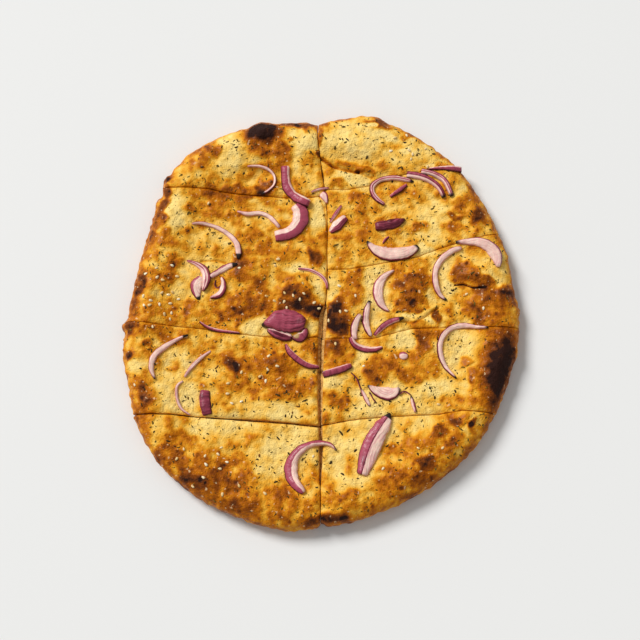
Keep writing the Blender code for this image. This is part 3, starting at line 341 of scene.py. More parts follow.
# How a slice is made: points round a section, factors on the widths and heights above, how far the scorch
# reaches from a tip, how deep the slice sinks in, over how many sections each way its seat is raised and
# smoothed, and in how many steps the curve goes from one point to the next
SECTION_POINTS = 22
SLICE_WIDENING = 1.08
SLICE_LOWERING = 0.72
SCORCH_LENGTH = 3.4
SLICE_SINKS = 0.15
SEAT_REACH = 2
SEAT_BLUR = 3
CURVE_STEPS = 16
# How wide a slice is at its tips, and how tall there and one section further in, as shares
TIP_WIDTH = 0.85
TIP_HEIGHT = 0.55
NEXT_HEIGHT = 0.85

# Sesame seeds whose places show from a step away
SEED_SPOTS = (
    (-86, 26), (-91.5, 23), (-85.5, 21), (-82.5, 19.5), (-78, 27.5), (-83, 13), (-77.5, 13.5),
    (-92.5, 11), (-88.5, 8.5), (-92, 6), (-89, 6), (-84, 6.5), (-81.5, 1.5), (-78.5, -1), (-74.5, 10),
    (-28.5, 11.5), (-19, 13), (-14.5, 11.5), (-9, 12.5), (-11, 9.5), (-3.5, 8), (-1, 5), (-9.5, 18),
    (9.5, 17), (18, 11.5), (10, 3), (13, 3.5), (4, -1.5), (-24, 28), (7.5, -14), (-27, -20.5),
    (-14.5, -23), (-22.5, -26), (-27.5, -27.5), (-31.5, -31), (-28.5, -33.5), (22, -25.5), (84.5, 4.5),
    (76, 12.5), (-70, -69), (-59, -72.5), (-52.5, -71.5), (-51, -68), (-73.5, -74), (-58.5, -77),
    (-51.5, -79), (-48, -75.5), (-75, -82), (-50, -92), (-96, -35.5), (49.5, -68.5), (62, -68.5),
    (60.5, -45.5), (31.5, -79), (-28.5, -91.5), (-46, -45), (-41, -44), (-4, -72.5),
)
# Where the other seeds lie thickest: x, y and reach of each patch
SEED_PATCHES = (
    (-85, 12, 22), (-62, -72, 28), (-12, 10, 16), (-35, -30, 24), (50, 92, 14),
)
# How the other seeds are sown: the share in the patches, the least distance between two, the most tries
SEED_PATCH_SHARE = 0.75
SEED_SPACING = 2.6
SEED_TRIES = 20000
# How many kinds of flake there are, and the box that seeds and flakes are drawn in
HERB_KINDS = 9
SOWN_X = (-105.0, 105.0)
SOWN_Y = (-110.0, 112.0)

# Herb flakes that show from a step away: x, y, length
HERB_SPOTS = (
    (-71.5, 88, 2.6), (-44.5, 96, 2.4), (-45, 92, 2.6), (-63, 81, 2.4), (-57, 73, 2.4), (-70, 56, 2.6),
    (-50, 64, 2.4), (-57, 46, 2.6), (-53, 43, 2.4), (-48, 40, 2.4), (8, 39, 2.8), (12.5, 24.5, 2.4),
    (-10.5, 41, 2.4), (28.5, 57, 2.4), (59, 59, 2.4), (54, 50, 2.6), (43, 81, 2.4), (51, 88, 2.4),
    (60, 89, 2.4), (12, 104, 2.4), (14, 96, 2.8), (7.5, 92, 2.4), (24.5, 87, 2.4), (5.5, 60.5, 2.4),
    (19, 62, 2.4), (-30, 20.5, 2.4), (-7.5, 21, 2.4), (-54, -26, 3.2), (-52, -12.5, 2.4),
    (-58, -22, 2.4), (-22, -41, 3.6), (-32, -42.5, 2.6), (-8.5, -43.5, 3.6), (-12, -46.5, 2.6),
    (9, -47, 2.6), (13, -48.5, 2.6), (-22, -63, 2.6), (-33, -77, 2.4), (10.5, -60.5, 4), (14, -59, 2.8),
    (5, -75.5, 2.6), (-9.5, -82, 2.6), (-23, -85.5, 2.4), (34, -67, 2.6), (17.5, -69.5, 2.4),
    (11, -81.5, 2.6), (43, -60, 2.6), (61, -61, 2.4), (48, -8.5, 2.6), (60, 5.5, 2.4), (80, 7, 2.6),
    (77, 21, 2.6), (79, 23, 2.4), (-78, -65, 2.4), (-46, -82, 2.4), (-86, -55.5, 2.4), (-92, -46, 2.4),
)

# What the camera looks at, and where the key light stands
AIM = (-0.6, -2.6, 12.0)
KEY_PLACE = (-0.66, 0.60, 0.84)


def paint(red, green, blue):
    """A colour as seen on a screen, 0 to 255, as the linear colour that a shader takes."""
    made = []
    for value in (red / 255.0, green / 255.0, blue / 255.0):
        made.append(value / 12.92 if value <= 0.04045 else ((value + 0.055) / 1.055) ** 2.4)
    return tuple(made)


def to_frame(x, y):
    """Places on the grid of millimetres as x and y in the row frame."""
    return x + GRID_ORIGIN[0], y + GRID_ORIGIN[1]


def to_grid(x, y):
    """The way back from the row frame."""
    return x - GRID_ORIGIN[0], y - GRID_ORIGIN[1]


def soft(t):
    """A smooth step: 0 up to 0, and 1 from 1 on."""
    t = np.clip(t, 0.0, 1.0)
    return t * t * (3.0 - 2.0 * t)


def noise(x, y, size, seed):
    """Smooth noise over the plane, about -1 to 1, with features of that size."""
    turns = np.random.default_rng(seed).uniform(0.0, math.tau, (CELLS, CELLS))
    gx, gy = x / size, y / size
    ix, iy = np.floor(gx).astype(np.int64), np.floor(gy).astype(np.int64)
    fx, fy = gx - ix, gy - iy
    sx = fx ** 3 * (fx * (fx * 6.0 - 15.0) + 10.0)
    sy = fy ** 3 * (fy * (fy * 6.0 - 15.0) + 10.0)
    total = np.zeros_like(gx)
    for ox in (0, 1):
        for oy in (0, 1):
            turn = turns[(ix + ox) % CELLS, (iy + oy) % CELLS]
            slope = np.cos(turn) * (fx - ox) + np.sin(turn) * (fy - oy)
            total += slope * (sx if ox else 1.0 - sx) * (sy if oy else 1.0 - sy)
    return total * 1.5


def bubbles(x, y, size, share, seed):
    """Round bumps, 0 to 1, in that share of the cells of a grid of that size."""
    picker = np.random.default_rng(seed)
    px, py = picker.uniform(0.2, 0.8, (2, CELLS, CELLS))
    reach = picker.uniform(0.26, 0.6, (CELLS, CELLS))
    there = picker.uniform(0.0, 1.0, (CELLS, CELLS)) < share
    tall = np.where(there, picker.uniform(0.4, 1.0, (CELLS, CELLS)), 0.0)
    gx, gy = x / size, y / size
    ix, iy = np.floor(gx).astype(np.int64), np.floor(gy).astype(np.int64)
    highest = np.zeros_like(gx)
    for ox in (-1, 0, 1):
        for oy in (-1, 0, 1):
            cell = (ix + ox) % CELLS, (iy + oy) % CELLS
            away = (gx - ix - ox - px[cell]) ** 2 + (gy - iy - oy - py[cell]) ** 2
            bump = tall[cell] * np.clip(1.0 - away / reach[cell] ** 2, 0.0, 1.0) ** 1.5
            highest = np.maximum(highest, bump)
    return highest


def dome(away):
    """1 at a distance of 0, falling smoothly to 0 at 1 and beyond."""
    away = np.minimum(away, 1.0)
    return (1.0 - away * away) ** 2


def curve_between(a, b, c, d, t):
    """A smooth curve's value at a share t of the way from b to c. It comes from a and goes on to d."""
    return b + 0.5 * t * (c - a + t * (2 * a - 5 * b + 4 * c - d + t * (3 * (b - c) + d - a)))


def edge_radius(angle):
    """The outline's radius at an angle, smooth between the named radii, with the named lumps."""
    degrees = np.degrees(angle) % 360.0
    part, index = np.modf(degrees * len(EDGE_RADII) / 360.0)
    index = index.astype(np.int64)
    radii = np.array(EDGE_RADII)
    a, b, c, d = (radii[(index + k) % len(radii)] for k in (-1, 0, 1, 2))
    radius = curve_between(a, b, c, d, part)
    for centre, half, height in EDGE_LUMPS:
        away = np.abs((degrees - centre + 180.0) % 360.0 - 180.0) / half
        radius = radius + height * dome(away)
    return radius


def inset_of(x, y):
    """How far inside the outline a point lies, along the radius."""
    dx, dy = x - EDGE_CENTRE[0], y - EDGE_CENTRE[1]
    return edge_radius(np.arctan2(dy, dx)) - np.hypot(dx, dy)


def cut_offset(cut, along, axis):
    """Centre and width of a cut at places along it.

    Axis 0 is for a cut to the rim, read at x, and axis 1 for the long cut, read at y.
    """
    points = np.array(sorted(cut, key=lambda point: point[axis]))
    places = points[:, axis]
    return np.interp(along, places, points[:, 1 - axis]), np.interp(along, places, points[:, 2])


def knife_walls(x, y):
    """For each cut: signed distance from its middle, its width there, the axis across it and its look."""
    centre, width = cut_offset(LONG_CUT, y, 1)
    yield x - centre, width, 0, LONG_CUT_LOOK
    sides = ((LEFT_CUTS, LEFT_CUT_LOOKS, x < centre), (RIGHT_CUTS, RIGHT_CUT_LOOKS, x >= centre))
    for cuts, looks, here in sides:
        for cut, look in zip(cuts, looks):
            row, row_width = cut_offset(cut, x, 0)
            yield np.where(here, y - row, FAR), row_width, 1, look


def knife_distance(x, y):
    """Distance from a point of the crust to the wall of the nearest cut."""
    nearest = np.full_like(x, FAR)
    for away, width, _, _ in knife_walls(x, y):
        nearest = np.minimum(nearest, np.abs(away) - width / 2)
    return np.maximum(nearest, 0.0)


def knife_dent(x, y):
    """How far the crust sinks towards the nearest cut."""
    deepest = np.zeros_like(x)
    for away, width, _, (drop, _) in knife_walls(x, y):
        near = np.clip(1.0 - (np.abs(away) - width / 2) / KNIFE_ROUNDING, 0.0, 1.0)
        deepest = np.maximum(deepest, drop * near * near)
    return deepest


def cell_of(x, y):
    """The name of the bread piece that holds a point."""
    centre, _ = cut_offset(LONG_CUT, y, 1)
    side, cuts = ("left", LEFT_CUTS) if x < centre else ("right", RIGHT_CUTS)
    row = 1 + sum(1 for cut in cuts if y < cut_offset(cut, x, 0)[0])
    return f"bread_{side}_{row}"


def wave_set():
    """The crust's long waves, each as its pace along x, its pace along y and its phase."""
    picker = random.Random(11)
    made = []
    for _ in range(CRUST_WAVES):
        turn = picker.uniform(0.0, math.tau)
        length = picker.uniform(*CRUST_WAVE_LENGTHS)
        pace = math.tau / length
        made.append((math.cos(turn) * pace, math.sin(turn) * pace, picker.uniform(0.0, math.tau)))
    return made


WAVES = wave_set()


def plain_height(inset):
    """The bread's section without any relief: height of the top over the distance from the outline."""
    rise = np.sqrt(1.0 - (1.0 - np.clip(inset / RIM_WIDTH, 0.0, 1.0)) ** 2)
    low = EDGE_HEIGHT + EDGE_BAND / 2
    rim = low + (RIM_HEIGHT - low) * rise
    return rim + (INNER_HEIGHT - rim) * soft((inset - RIM_WIDTH) / (INNER_FROM_EDGE - RIM_WIDTH))


def low_height(inset):
    """Height of the underside over the distance from the outline: rounded at the edge, then flat."""
    rise = 1.0 - np.clip(inset / UNDERSIDE_ROUNDING, 0.0, 1.0)
    return (EDGE_HEIGHT - EDGE_BAND / 2) * (1.0 - np.sqrt(1.0 - rise * rise))


def turned(x, y, spot):
    """Distance from an ellipse's centre in units of its reach: 1 on its edge."""
    cx, cy, rx, ry, turn = spot
    c, s = math.cos(math.radians(turn)), math.sin(math.radians(turn))
    u = ((x - cx) * c + (y - cy) * s) / rx
    v = ((y - cy) * c - (x - cx) * s) / ry
    return np.sqrt(u * u + v * v)


def line_distance(x, y, points):
    """Distance from each place to the nearest spot on the line through the points."""
    nearest = np.full_like(x, FAR)
    for (ax, ay), (bx, by) in zip(points, points[1:]):
        ux, uy = bx - ax, by - ay
        t = np.clip(((x - ax) * ux + (y - ay) * uy) / (ux * ux + uy * uy), 0.0, 1.0)
        nearest = np.minimum(nearest, np.hypot(x - ax - t * ux, y - ay - t * uy))
    return nearest


def patches_of(x, y):
    """How far the crust is baked, from the named patches with ragged edges; two of them hold painted shade.
    """
    wx = x + 3.0 * noise(x, y, 12.0, 31) + 1.3 * noise(x, y, 4.6, 32)
    wy = y + 3.0 * noise(x, y, 12.0, 34) + 1.3 * noise(x, y, 4.6, 35)
    bake = np.full_like(x, BAKE_BASE)
    for x0, x1, y0, y1, level in sorted(BAKES, key=lambda b: -(b[1] - b[0]) * (b[3] - b[2])):
        spot = ((x0 + x1) / 2, (y0 + y1) / 2, (x1 - x0) / 2, (y1 - y0) / 2, 0.0)
        bake += (level - bake) * soft((1.5 - turned(wx, wy, spot)) / 0.9)
    uneven = 0.20 * noise(x, y, 8.0, 37) + 0.16 * noise(x, y, 3.8, 38)
    bake += uneven * (0.55 + 0.45 * soft((bake - 0.05) / 0.35))
    return bake + 0.075 * np.tanh((bake - 0.3) * 9.0)


def crust_height(x, y):
    """The finished crust's height, with blisters, hollows, creases and the fine unevenness of the dough."""
    inset = np.maximum(inset_of(x, y), 0.0)
    relief = 0.7 * soft((patches_of(x, y) - 0.12) / 0.45)
    for *spot, lump in CRUST_LUMPS:
        relief += lump * dome(turned(x, y, spot))
    for kx, ky, phase in WAVES:
        relief += CRUST_WAVE_HEIGHT * np.sin(kx * x + ky * y + phase)
    bent_x = x + 1.2 * noise(x, y, 9.0, 21)
    bent_y = y + 1.2 * noise(x, y, 9.0, 22)
    relief += 0.40 * noise(bent_x, bent_y, 7.0, 23)
    for height, size, share, seed in CRUST_BUBBLES:
        relief += height * bubbles(bent_x, bent_y, size, share, seed)
    relief += 0.20 * noise(x, y, 2.6, 27) + 0.05 * noise(x, y, 1.2, 28)
    for points, half, height, _ in RIDGES:
        relief += height * dome(line_distance(x, y, points) / half)
    for points, half, depth, _ in CREASES:
        relief -= depth * dome(line_distance(x, y, points) / half)
    return plain_height(inset) + (relief - knife_dent(x, y)) * soft(inset / RIM_WIDTH)


def bake_and_shade_of(x, y):
    """How far each point of the crust is baked, with browned bubbles, freckles, charred places and painted
    shade in its creases.
    """
    bake = patches_of(x, y)
    for points, half, _, level in RIDGES:
        away = line_distance(x, y, points) + 0.5 * noise(x, y, 3.0, 43)
        bake += (level - bake) * soft((half - away) / half)
    # Painted shade: creases and cracks are darkened along their lines
    for points, half, _, painted_crease_shade in CREASES:
        bake += painted_crease_shade * soft(1.0 - line_distance(x, y, points) / half)
    browned = soft((bake - 0.2) / 0.3)
    bake += 0.10 * bubbles(x, y, 5.0, 0.45, 40)
    bake += (0.04 + 0.24 * browned) * bubbles(x, y, 3.0, 0.18, 41)
    for *spot, edge in CHARS:
        away = turned(x + 1.3 * noise(x, y, 4.6, 32), y + 1.3 * noise(x, y, 4.6, 35), spot)
        fade = np.maximum(away - 1.3 + edge, 0.0) / edge
        bake = np.maximum(bake, 1.04 + 0.14 * noise(x, y, 5.0, 42) - 0.50 * fade)
    return bake


def deselect():
    """Leaves edit mode and selects nothing."""
    if bpy.context.mode != "OBJECT":
        bpy.ops.object.mode_set(mode="OBJECT")
    bpy.ops.object.select_all(action="DESELECT")


def only(piece):
    """Selects one piece and nothing else, and makes it active."""
    deselect()
    piece.select_set(True)
    bpy.context.view_layer.objects.active = piece


def open_mesh(piece):
    """Starts edit mode on one piece, with all of it selected."""
    only(piece)
    bpy.ops.object.mode_set(mode="EDIT")
    bpy.ops.mesh.select_all(action="SELECT")


def close_mesh():
    """Ends edit mode."""
    bpy.ops.object.mode_set(mode="OBJECT")


def face_outward(piece):
    """Turns all faces of a closed piece outward."""
    open_mesh(piece)
    bpy.ops.mesh.normals_make_consistent(inside=False)
    close_mesh()


def pick(piece, part, wanted):
    """In edit mode, selects the edges or faces that pass a test and nothing else."""
    bpy.ops.mesh.select_mode(type="EDGE" if part == "edges" else "FACE")
    bpy.ops.mesh.select_all(action="DESELECT")
    mesh = bmesh.from_edit_mesh(piece.data)
    found = 0
    for item in getattr(mesh, part):
        if wanted(item):
            item.select_set(True)
            found += 1
    bmesh.update_edit_mesh(piece.data)
    if not found:
        raise RuntimeError(f"{piece.name}: nothing to select")


def rise(edge):
    """How far apart in height the two ends of an edge are, in millimetres."""
    return abs(edge.verts[0].co.z - edge.verts[1].co.z) / MM


def points_of(piece):
    """The points of a piece in millimetres, a row each."""
    made = np.empty(len(piece.data.vertices) * 3)
    piece.data.vertices.foreach_get("co", made)
    return made.reshape(-1, 3) / MM


def put_points(piece, points):
    """Moves a piece's points to these, in millimetres."""
    piece.data.vertices.foreach_set("co", (points * MM).ravel())
    piece.data.update()


def put_values(piece, name, values):
    """Notes a value at each point, which the materials read by its name."""
    layer = piece.data.attributes.new(name, "FLOAT", "POINT")
    layer.data.foreach_set("value", np.ascontiguousarray(values, np.float32))


def apply_modifier(piece, kind, **settings):
    """Puts a modifier on a piece and applies it."""
    only(piece)
    made = piece.modifiers.new(kind.lower(), kind)
    for key, value in settings.items():
        setattr(made, key, value)
    bpy.ops.object.modifier_apply(modifier=made.name)


def finish_piece(piece, name, finish):
    """Gives a piece its name and its material, shades it smooth and puts it on the one body."""
    piece.name = name
    piece.data.name = name
    piece.data.materials.clear()
    piece.data.materials.append(finish)
    only(piece)
    bpy.ops.object.shade_smooth()
    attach(piece, "root")


class Wire:
    """A value in a material's nodes. Python's operators on it each add a Math node."""

    def __init__(self, bench, socket):
        self.bench = bench
        self.socket = socket

    def __add__(self, other):
        return self.bench.math("ADD", self, other)

    def __sub__(self, other):
        return self.bench.math("SUBTRACT", self, other)

    def __rsub__(self, other):
        return self.bench.math("SUBTRACT", other, self)

    def __mul__(self, other):
        return self.bench.math("MULTIPLY", self, other)

    def __truediv__(self, other):
        return self.bench.math("DIVIDE", self, other)

    __radd__ = __add__
    __rmul__ = __mul__


class Bench:
    """The nodes of one material, with a Principled shader at their end."""

    def __init__(self, name):
        self.made = bpy.data.materials.new(name)
        self.made.use_nodes = True
        self.tree = self.made.node_tree
        self.tree.nodes.clear()
        self.shader = self.tree.nodes.new("ShaderNodeBsdfPrincipled")
        output = self.tree.nodes.new("ShaderNodeOutputMaterial")
        self.tree.links.new(self.shader.outputs[0], output.inputs["Surface"])

    def plug(self, socket, value):
        """Links a wire to a socket, or sets the socket to a plain value."""
        if isinstance(value, Wire):
            self.tree.links.new(value.socket, socket)
        else:
            socket.default_value = value

    def add(self, kind, settings, inputs, output=0):
        """Adds a node with these settings and inputs. Gives the wire of one of its outputs."""
        node = self.tree.nodes.new(kind)
        for key, value in settings.items():
            if key == "stops":
                while len(node.color_ramp.elements) < len(value):
                    node.color_ramp.elements.new(1.0)
                for element, (place, colour) in zip(node.color_ramp.elements, value):
                    element.position = place
                    element.color = (*colour, 1.0)
            else:
                setattr(node, key, value)
        for key, value in inputs.items():
            self.plug(node.inputs[key], value)
        return Wire(self, node.outputs[output])

    def math(self, operation, a, b):
        """The outcome of one Math node."""
        return self.add("ShaderNodeMath", {"operation": operation}, {0: a, 1: b})

    def limit(self, value, low, high):
        """A smooth step from 0 at low to 1 at high."""
        inputs = {"Value": value, "From Min": low, "From Max": high}
        return self.add("ShaderNodeMapRange", {"interpolation_type": "SMOOTHSTEP"}, inputs)

    def attribute(self, name):
        """The value that put_values noted under this name."""
        return self.add("ShaderNodeAttribute", {"attribute_name": name}, {}, "Fac")

    def places(self):
        """Object coordinates in millimetres."""
        where = self.add("ShaderNodeTexCoord", {}, {}, "Object")
        return self.add("ShaderNodeVectorMath", {"operation": "SCALE"}, {"Vector": where, "Scale": 1.0 / MM})

    def noise(self, where, size, detail=2.0, roughness=0.5):
        """Noise between 0 and 1, with features of that size in millimetres."""
        inputs = {"Vector": where, "Scale": 1.0 / size, "Detail": detail, "Roughness": roughness}
        return self.add("ShaderNodeTexNoise", {}, inputs)

    def ramp(self, value, stops):
        """A colour that runs through the stops, each a place and its colour, as the value rises."""
        return self.add("ShaderNodeValToRGB", {"stops": stops}, {"Fac": value})

    def mix(self, share, first, second):
        """That share of the second colour over the first. They are inputs 6 and 7 of the node."""
        return self.add("ShaderNodeMix", {"data_type": "RGBA"}, {"Factor": share, 6: first, 7: second}, 2)

    def bump(self, height, distance):
        """Normals for a relief of that many millimetres."""
        inputs = {"Height": height, "Distance": distance * MM, "Strength": 1.0}
        return self.add("ShaderNodeBump", {}, inputs)

    def finish(self, **inputs):
        """Sets the shader's inputs and gives the material."""
        for key, value in inputs.items():
            self.plug(self.shader.inputs[key.replace("_", " ")], value)
        return self.made


def crust_finish(values):
    """Baked crust: colour from each point's bake and painted shade, a little mottled, with painted highlights
    and a thin film of oil.
    """
    bench = Bench("baked_crust")
    where = bench.places()
    coarse = bench.noise(where, 2.8, 3.0, 0.55)
    fine = bench.noise(where, 1.0, 2.0, 0.6)
    baked_and_shaded = bench.attribute("bake")
    mottle = bench.limit(baked_and_shaded, 0.05, 0.45) * 0.27 + 0.15
    bake = baked_and_shaded + (coarse - 0.5) * mottle + (fine - 0.5) * mottle * 0.45
    place = (bake + 0.145) / 1.2
    colour = bench.ramp(place, (
        (0.08, values.cream),
        (0.21, values.pale),
        (0.35, values.golden),
        (0.46, values.orange),
        (0.58, values.brown),
        (0.74, values.dark_brown),
        (0.93, values.char),
    ))
    # Painted highlights: small bright specks on the browned crust, standing for light caught on oily bumps
    painted_glints = bench.limit(bench.noise(where, 1.8, 1.0, 0.4), 0.69, 0.76) * bench.limit(bake, 0.3, 0.5) * 0.5
    charred = bench.limit(bake, 0.75, 0.95)
    colour = bench.mix(painted_glints * (1.0 - charred), colour, (*values.painted_glint, 1.0))
    crumb = bench.ramp(bench.noise(where, 1.3, 3.0, 0.6), ((0.36, values.crumb_shade), (0.58, values.crumb)))
    colour = bench.mix(bench.attribute("crumb"), colour, crumb)
    grain = bench.noise(where, 0.7, 2.0, 0.6) + bench.noise(where, 2.0, 2.0, 0.6) * 1.8
    browned = bench.limit(bake, 0.25, 0.6)
    rough = 0.46 - browned * 0.12 + charred * 0.35 + (coarse - 0.5) * 0.3
    return bench.finish(
        Base_Color=colour,
        Roughness=rough,
        Coat_Weight=(0.02 + browned * 0.03) * (1.0 - charred),
        Coat_Roughness=0.2,
        Specular_IOR_Level=0.08,
        Normal=bench.bump(grain, 0.55),
    )


def onion_finish(values):
    """Roasted red onion: pale flesh, purple skin with a dark edge, ribs, scorched tips."""
    bench = Bench("roasted_onion")
    where = bench.places()
    outer = bench.attribute("outer")
    inner = bench.attribute("inner")
    along = bench.attribute("along")
    # dark holds each slice's own darkness and, on petals, painted light and shade along the slice
    dark = bench.attribute("dark")
    key = bench.attribute("tone") * 40.0
    mottle = bench.noise(where, 2.2, 2.0)
    streaks = bench.noise(where, 5.0, 1.0)
    skin = bench.limit(bench.attribute("edge") + (mottle - 0.5) * 0.7, -0.15, 0.35)
    lines_across = bench.add("ShaderNodeCombineXYZ", {}, {"X": along * 0.9, "Y": outer * 0.12, "Z": key})
    ribs_across = bench.noise(lines_across, 1.0, 2.0, 0.6)
    lines_along = bench.add("ShaderNodeCombineXYZ", {}, {"X": outer * 1.1, "Y": along * 0.09, "Z": key})
    ribs_along = bench.noise(lines_along, 1.0, 2.0, 0.6)
    petal = bench.attribute("petal")
    crossing = skin * (1.0 - petal)
    ribs = ribs_along + (ribs_across - ribs_along) * crossing
    inner_line = bench.math("ABSOLUTE", outer - bench.attribute("line"), 0.0)
    lines = (1.0 - bench.limit(outer, 0.15, 0.7)) * (dark * 0.35 + 0.25)
    lines = lines + (1.0 - bench.limit(inner, 0.1, 0.5)) * 0.14
    lines = lines + (1.0 - bench.limit(inner_line, 0.1, 0.45)) * 0.55
    depth = 0.12 + skin * (dark * 0.34 + 0.46) + lines
    depth = depth + (ribs - 0.5) * (petal * 0.45 + 0.45)
    depth = depth + (mottle - 0.5) * 0.16 + (streaks - 0.5) * 0.2
    colour = bench.ramp(depth, (
        (0.06, values.flesh),
        (0.30, values.blush),
        (0.54, values.skin),
        (0.74, values.skin),
        (1.00, values.deep_skin),
    ))
    heart = bench.attribute("heart")
    colour = bench.mix(heart, colour, (*values.heart, 1.0))
    scorch = bench.limit(bench.attribute("scorch") + (mottle - 0.5) * 0.5, 0.25, 0.75)
    colour = bench.mix(scorch, colour, (*values.scorch, 1.0))
    return bench.finish(
        Base_Color=colour,
        Roughness=0.36 + scorch * 0.3 + (mottle - 0.5) * 0.2,
        Coat_Weight=0.10,
        Coat_Roughness=0.15,
        Specular_IOR_Level=0.26,
        Subsurface_Weight=0.10,
        Subsurface_Radius=(0.0012, 0.0006, 0.0006),
        Subsurface_Scale=1.0,
        Normal=bench.bump(ribs * 1.5 + mottle, 0.3),
    )


def seed_finish(values):
    """Sesame, each seed toasted by its own tone."""
    bench = Bench("sesame_seed")
    tone = bench.attribute("tone") + (bench.noise(bench.places(), 0.8) - 0.5) * 0.4
    colour = bench.ramp(tone, ((0.0, values.seed), (0.7, values.seed_toasted), (1.0, values.seed_brown)))
    return bench.finish(Base_Color=colour, Roughness=0.42, Specular_IOR_Level=0.45, Coat_Weight=0.1)


def herb_finish(values):
    """Dried herb, each flake with its own tone from black over green to brown."""
    bench = Bench("dried_herb")
    tone = bench.attribute("tone") + (bench.noise(bench.places(), 0.7) - 0.5) * 0.35
    colour = bench.ramp(tone, (
        (0.0, values.herb_black),
        (0.45, values.herb_green),
        (0.8, values.herb_olive),
        (1.0, values.herb_brown),
    ))
    return bench.finish(Base_Color=colour, Roughness=0.75, Specular_IOR_Level=0.25)


def shade_prop(name, description, red, green, blue):
    """A property that holds a colour, given as seen on a screen."""
    return bpy.props.FloatVectorProperty(
        name=name,
        description=description,
        default=paint(red, green, blue),
        subtype="COLOR",
        size=3,
        min=0.0,
        max=1.0,
    )


def length_prop(name, description, length):
    """A property that holds a length, given in millimetres."""
    settings = {"default": length * MM, "subtype": "DISTANCE", "unit": "LENGTH", "precision": 5}
    return bpy.props.FloatProperty(name=name, description=description, **settings)


def angle_prop(name, description, angle):
    """A property that holds an angle, given in degrees."""
    settings = {"default": math.radians(angle), "subtype": "ANGLE", "unit": "ROTATION"}
    return bpy.props.FloatProperty(name=name, description=description, **settings)


def number_prop(name, description, value, lowest=0.0):
    """A property that holds a plain number."""
    return bpy.props.FloatProperty(name=name, description=description, default=value, min=lowest)


class BreadValues(bpy.types.PropertyGroup):
    """Sizes and colours of the bread."""

    mesh_step: length_prop("Mesh step", "Length of the crust's smallest faces", 0.5)
    cream: shade_prop("Cream", "Crust hardly baked at all", 255, 220, 132)
    pale: shade_prop("Pale", "Pale crust", 248, 199, 94)
    golden: shade_prop("Golden", "Golden crust", 237, 172, 52)
    orange: shade_prop("Orange", "Well baked crust", 220, 142, 22)
    brown: shade_prop("Brown", "Browned crust", 192, 108, 4)
    dark_brown: shade_prop("Dark brown", "Crust baked dark", 134, 66, 2)
    char: shade_prop("Char", "Charred crust", 46, 24, 18)
    # painted_glint is the colour of painted highlights on browned crust
    painted_glint: shade_prop("Glint", "Small oily bumps on browned crust", 255, 226, 176)
    crumb: shade_prop("Crumb", "Cut crumb", 226, 178, 104)
    crumb_shade: shade_prop("Crumb pores", "Pores of the cut crumb", 178, 122, 58)


class OnionValues(bpy.types.PropertyGroup):
    """Sizes and colours of the onion."""

    mesh_step: length_prop("Mesh step", "Distance between the sections of a slice", 0.8)
    flesh: shade_prop("Flesh", "Pale inner side of a slice", 244, 208, 190)
    blush: shade_prop("Blush", "Pink between flesh and skin", 218, 158, 156)
    skin: shade_prop("Skin", "Purple outer side of a slice", 168, 72, 92)
    deep_skin: shade_prop("Deep skin", "Darkest skin", 88, 18, 36)
    heart: shade_prop("Heart", "Tan heart of the bulb", 196, 160, 104)
    scorch: shade_prop("Scorch", "Scorched tips", 34, 20, 18)


class GrainValues(bpy.types.PropertyGroup):
    """Numbers, sizes and colours of the seeds and herb flakes."""

    seed_count: bpy.props.IntProperty(name="Seeds", description="Number of sesame seeds", default=98, min=1)
    herb_count: bpy.props.IntProperty(name="Flakes", description="Number of herb flakes", default=6000, min=1)
    seed_length: length_prop("Seed length", "Length of a sesame seed", 2.1)
    seed: shade_prop("Seed", "Untoasted seed", 246, 234, 200)
    seed_toasted: shade_prop("Toasted seed", "Toasted seed", 226, 190, 120)
    seed_brown: shade_prop("Brown seed", "Seed baked brown", 176, 124, 62)
    herb_black: shade_prop("Black herb", "Scorched flake", 50, 34, 10)
    herb_green: shade_prop("Green herb", "Dark green flake", 80, 62, 14)
    herb_olive: shade_prop("Olive herb", "Olive flake", 122, 98, 26)
    herb_brown: shade_prop("Brown herb", "Brown flake", 116, 66, 14)


class StageValues(bpy.types.PropertyGroup):
    """The floor, the light and the camera."""

    floor: shade_prop("Floor", "Colour of the floor", 234, 234, 232)
    key: number_prop("Key light", "Strength of the soft key light", 2.9)
    key_spread: angle_prop("Key softness", "Angle that the key light spans", 22.0)
    sky: number_prop("Sky", "Strength of the even light all round", 0.38)
    elevation: angle_prop("Camera height", "Camera's angle above the horizon", 78.0)
    distance: length_prop("Camera distance", "Distance from the camera to the bread", 786.0)
    lens: number_prop("Lens", "Focal length in millimetres on a 36 mm sensor", 85.0, 1.0)


def round_of_dough():
    """A thick disc with rounded edges, shaped to the bread's outline and section."""
    deselect()
    bpy.ops.mesh.primitive_cylinder_add(
        vertices=720, radius=DISC_RADIUS * MM, depth=2 * DISC_HALF * MM, location=(0.0, 0.0, DISC_HALF * MM)
    )
    dough = bpy.context.object
    bpy.ops.object.transform_apply(location=True, rotation=True, scale=True)
    open_mesh(dough)
    pick(dough, "edges", lambda edge: rise(edge) < 0.001)
    bpy.ops.mesh.bevel(offset=DISC_BEVEL * MM, segments=12, affect="EDGES", profile=0.5)
    pick(dough, "faces", lambda face: len(face.verts) > 100 and face.normal.z > 0.9)
    for width in DISC_RINGS:
        bpy.ops.mesh.inset(thickness=width * MM)
    close_mesh()
    points = points_of(dough)
    angle = np.arctan2(points[:, 1], points[:, 0])
    inset = DISC_RADIUS - np.hypot(points[:, 0], points[:, 1])
    top = points[:, 2] > DISC_HALF
    band = np.where(top, RIM_WIDTH, UNDERSIDE_ROUNDING)
    inset = np.where(inset < DISC_BEVEL, inset / DISC_BEVEL * band, band + inset - DISC_BEVEL)
    inset = np.clip(inset, 0.0, None)
    radius = edge_radius(angle) - inset
    x, y = EDGE_CENTRE[0] + radius * np.cos(angle), EDGE_CENTRE[1] + radius * np.sin(angle)
    points[:, 0], points[:, 1] = to_frame(x, y)
    points[:, 2] = np.where(top, plain_height(inset), low_height(inset))
    put_points(dough, points)
    return dough


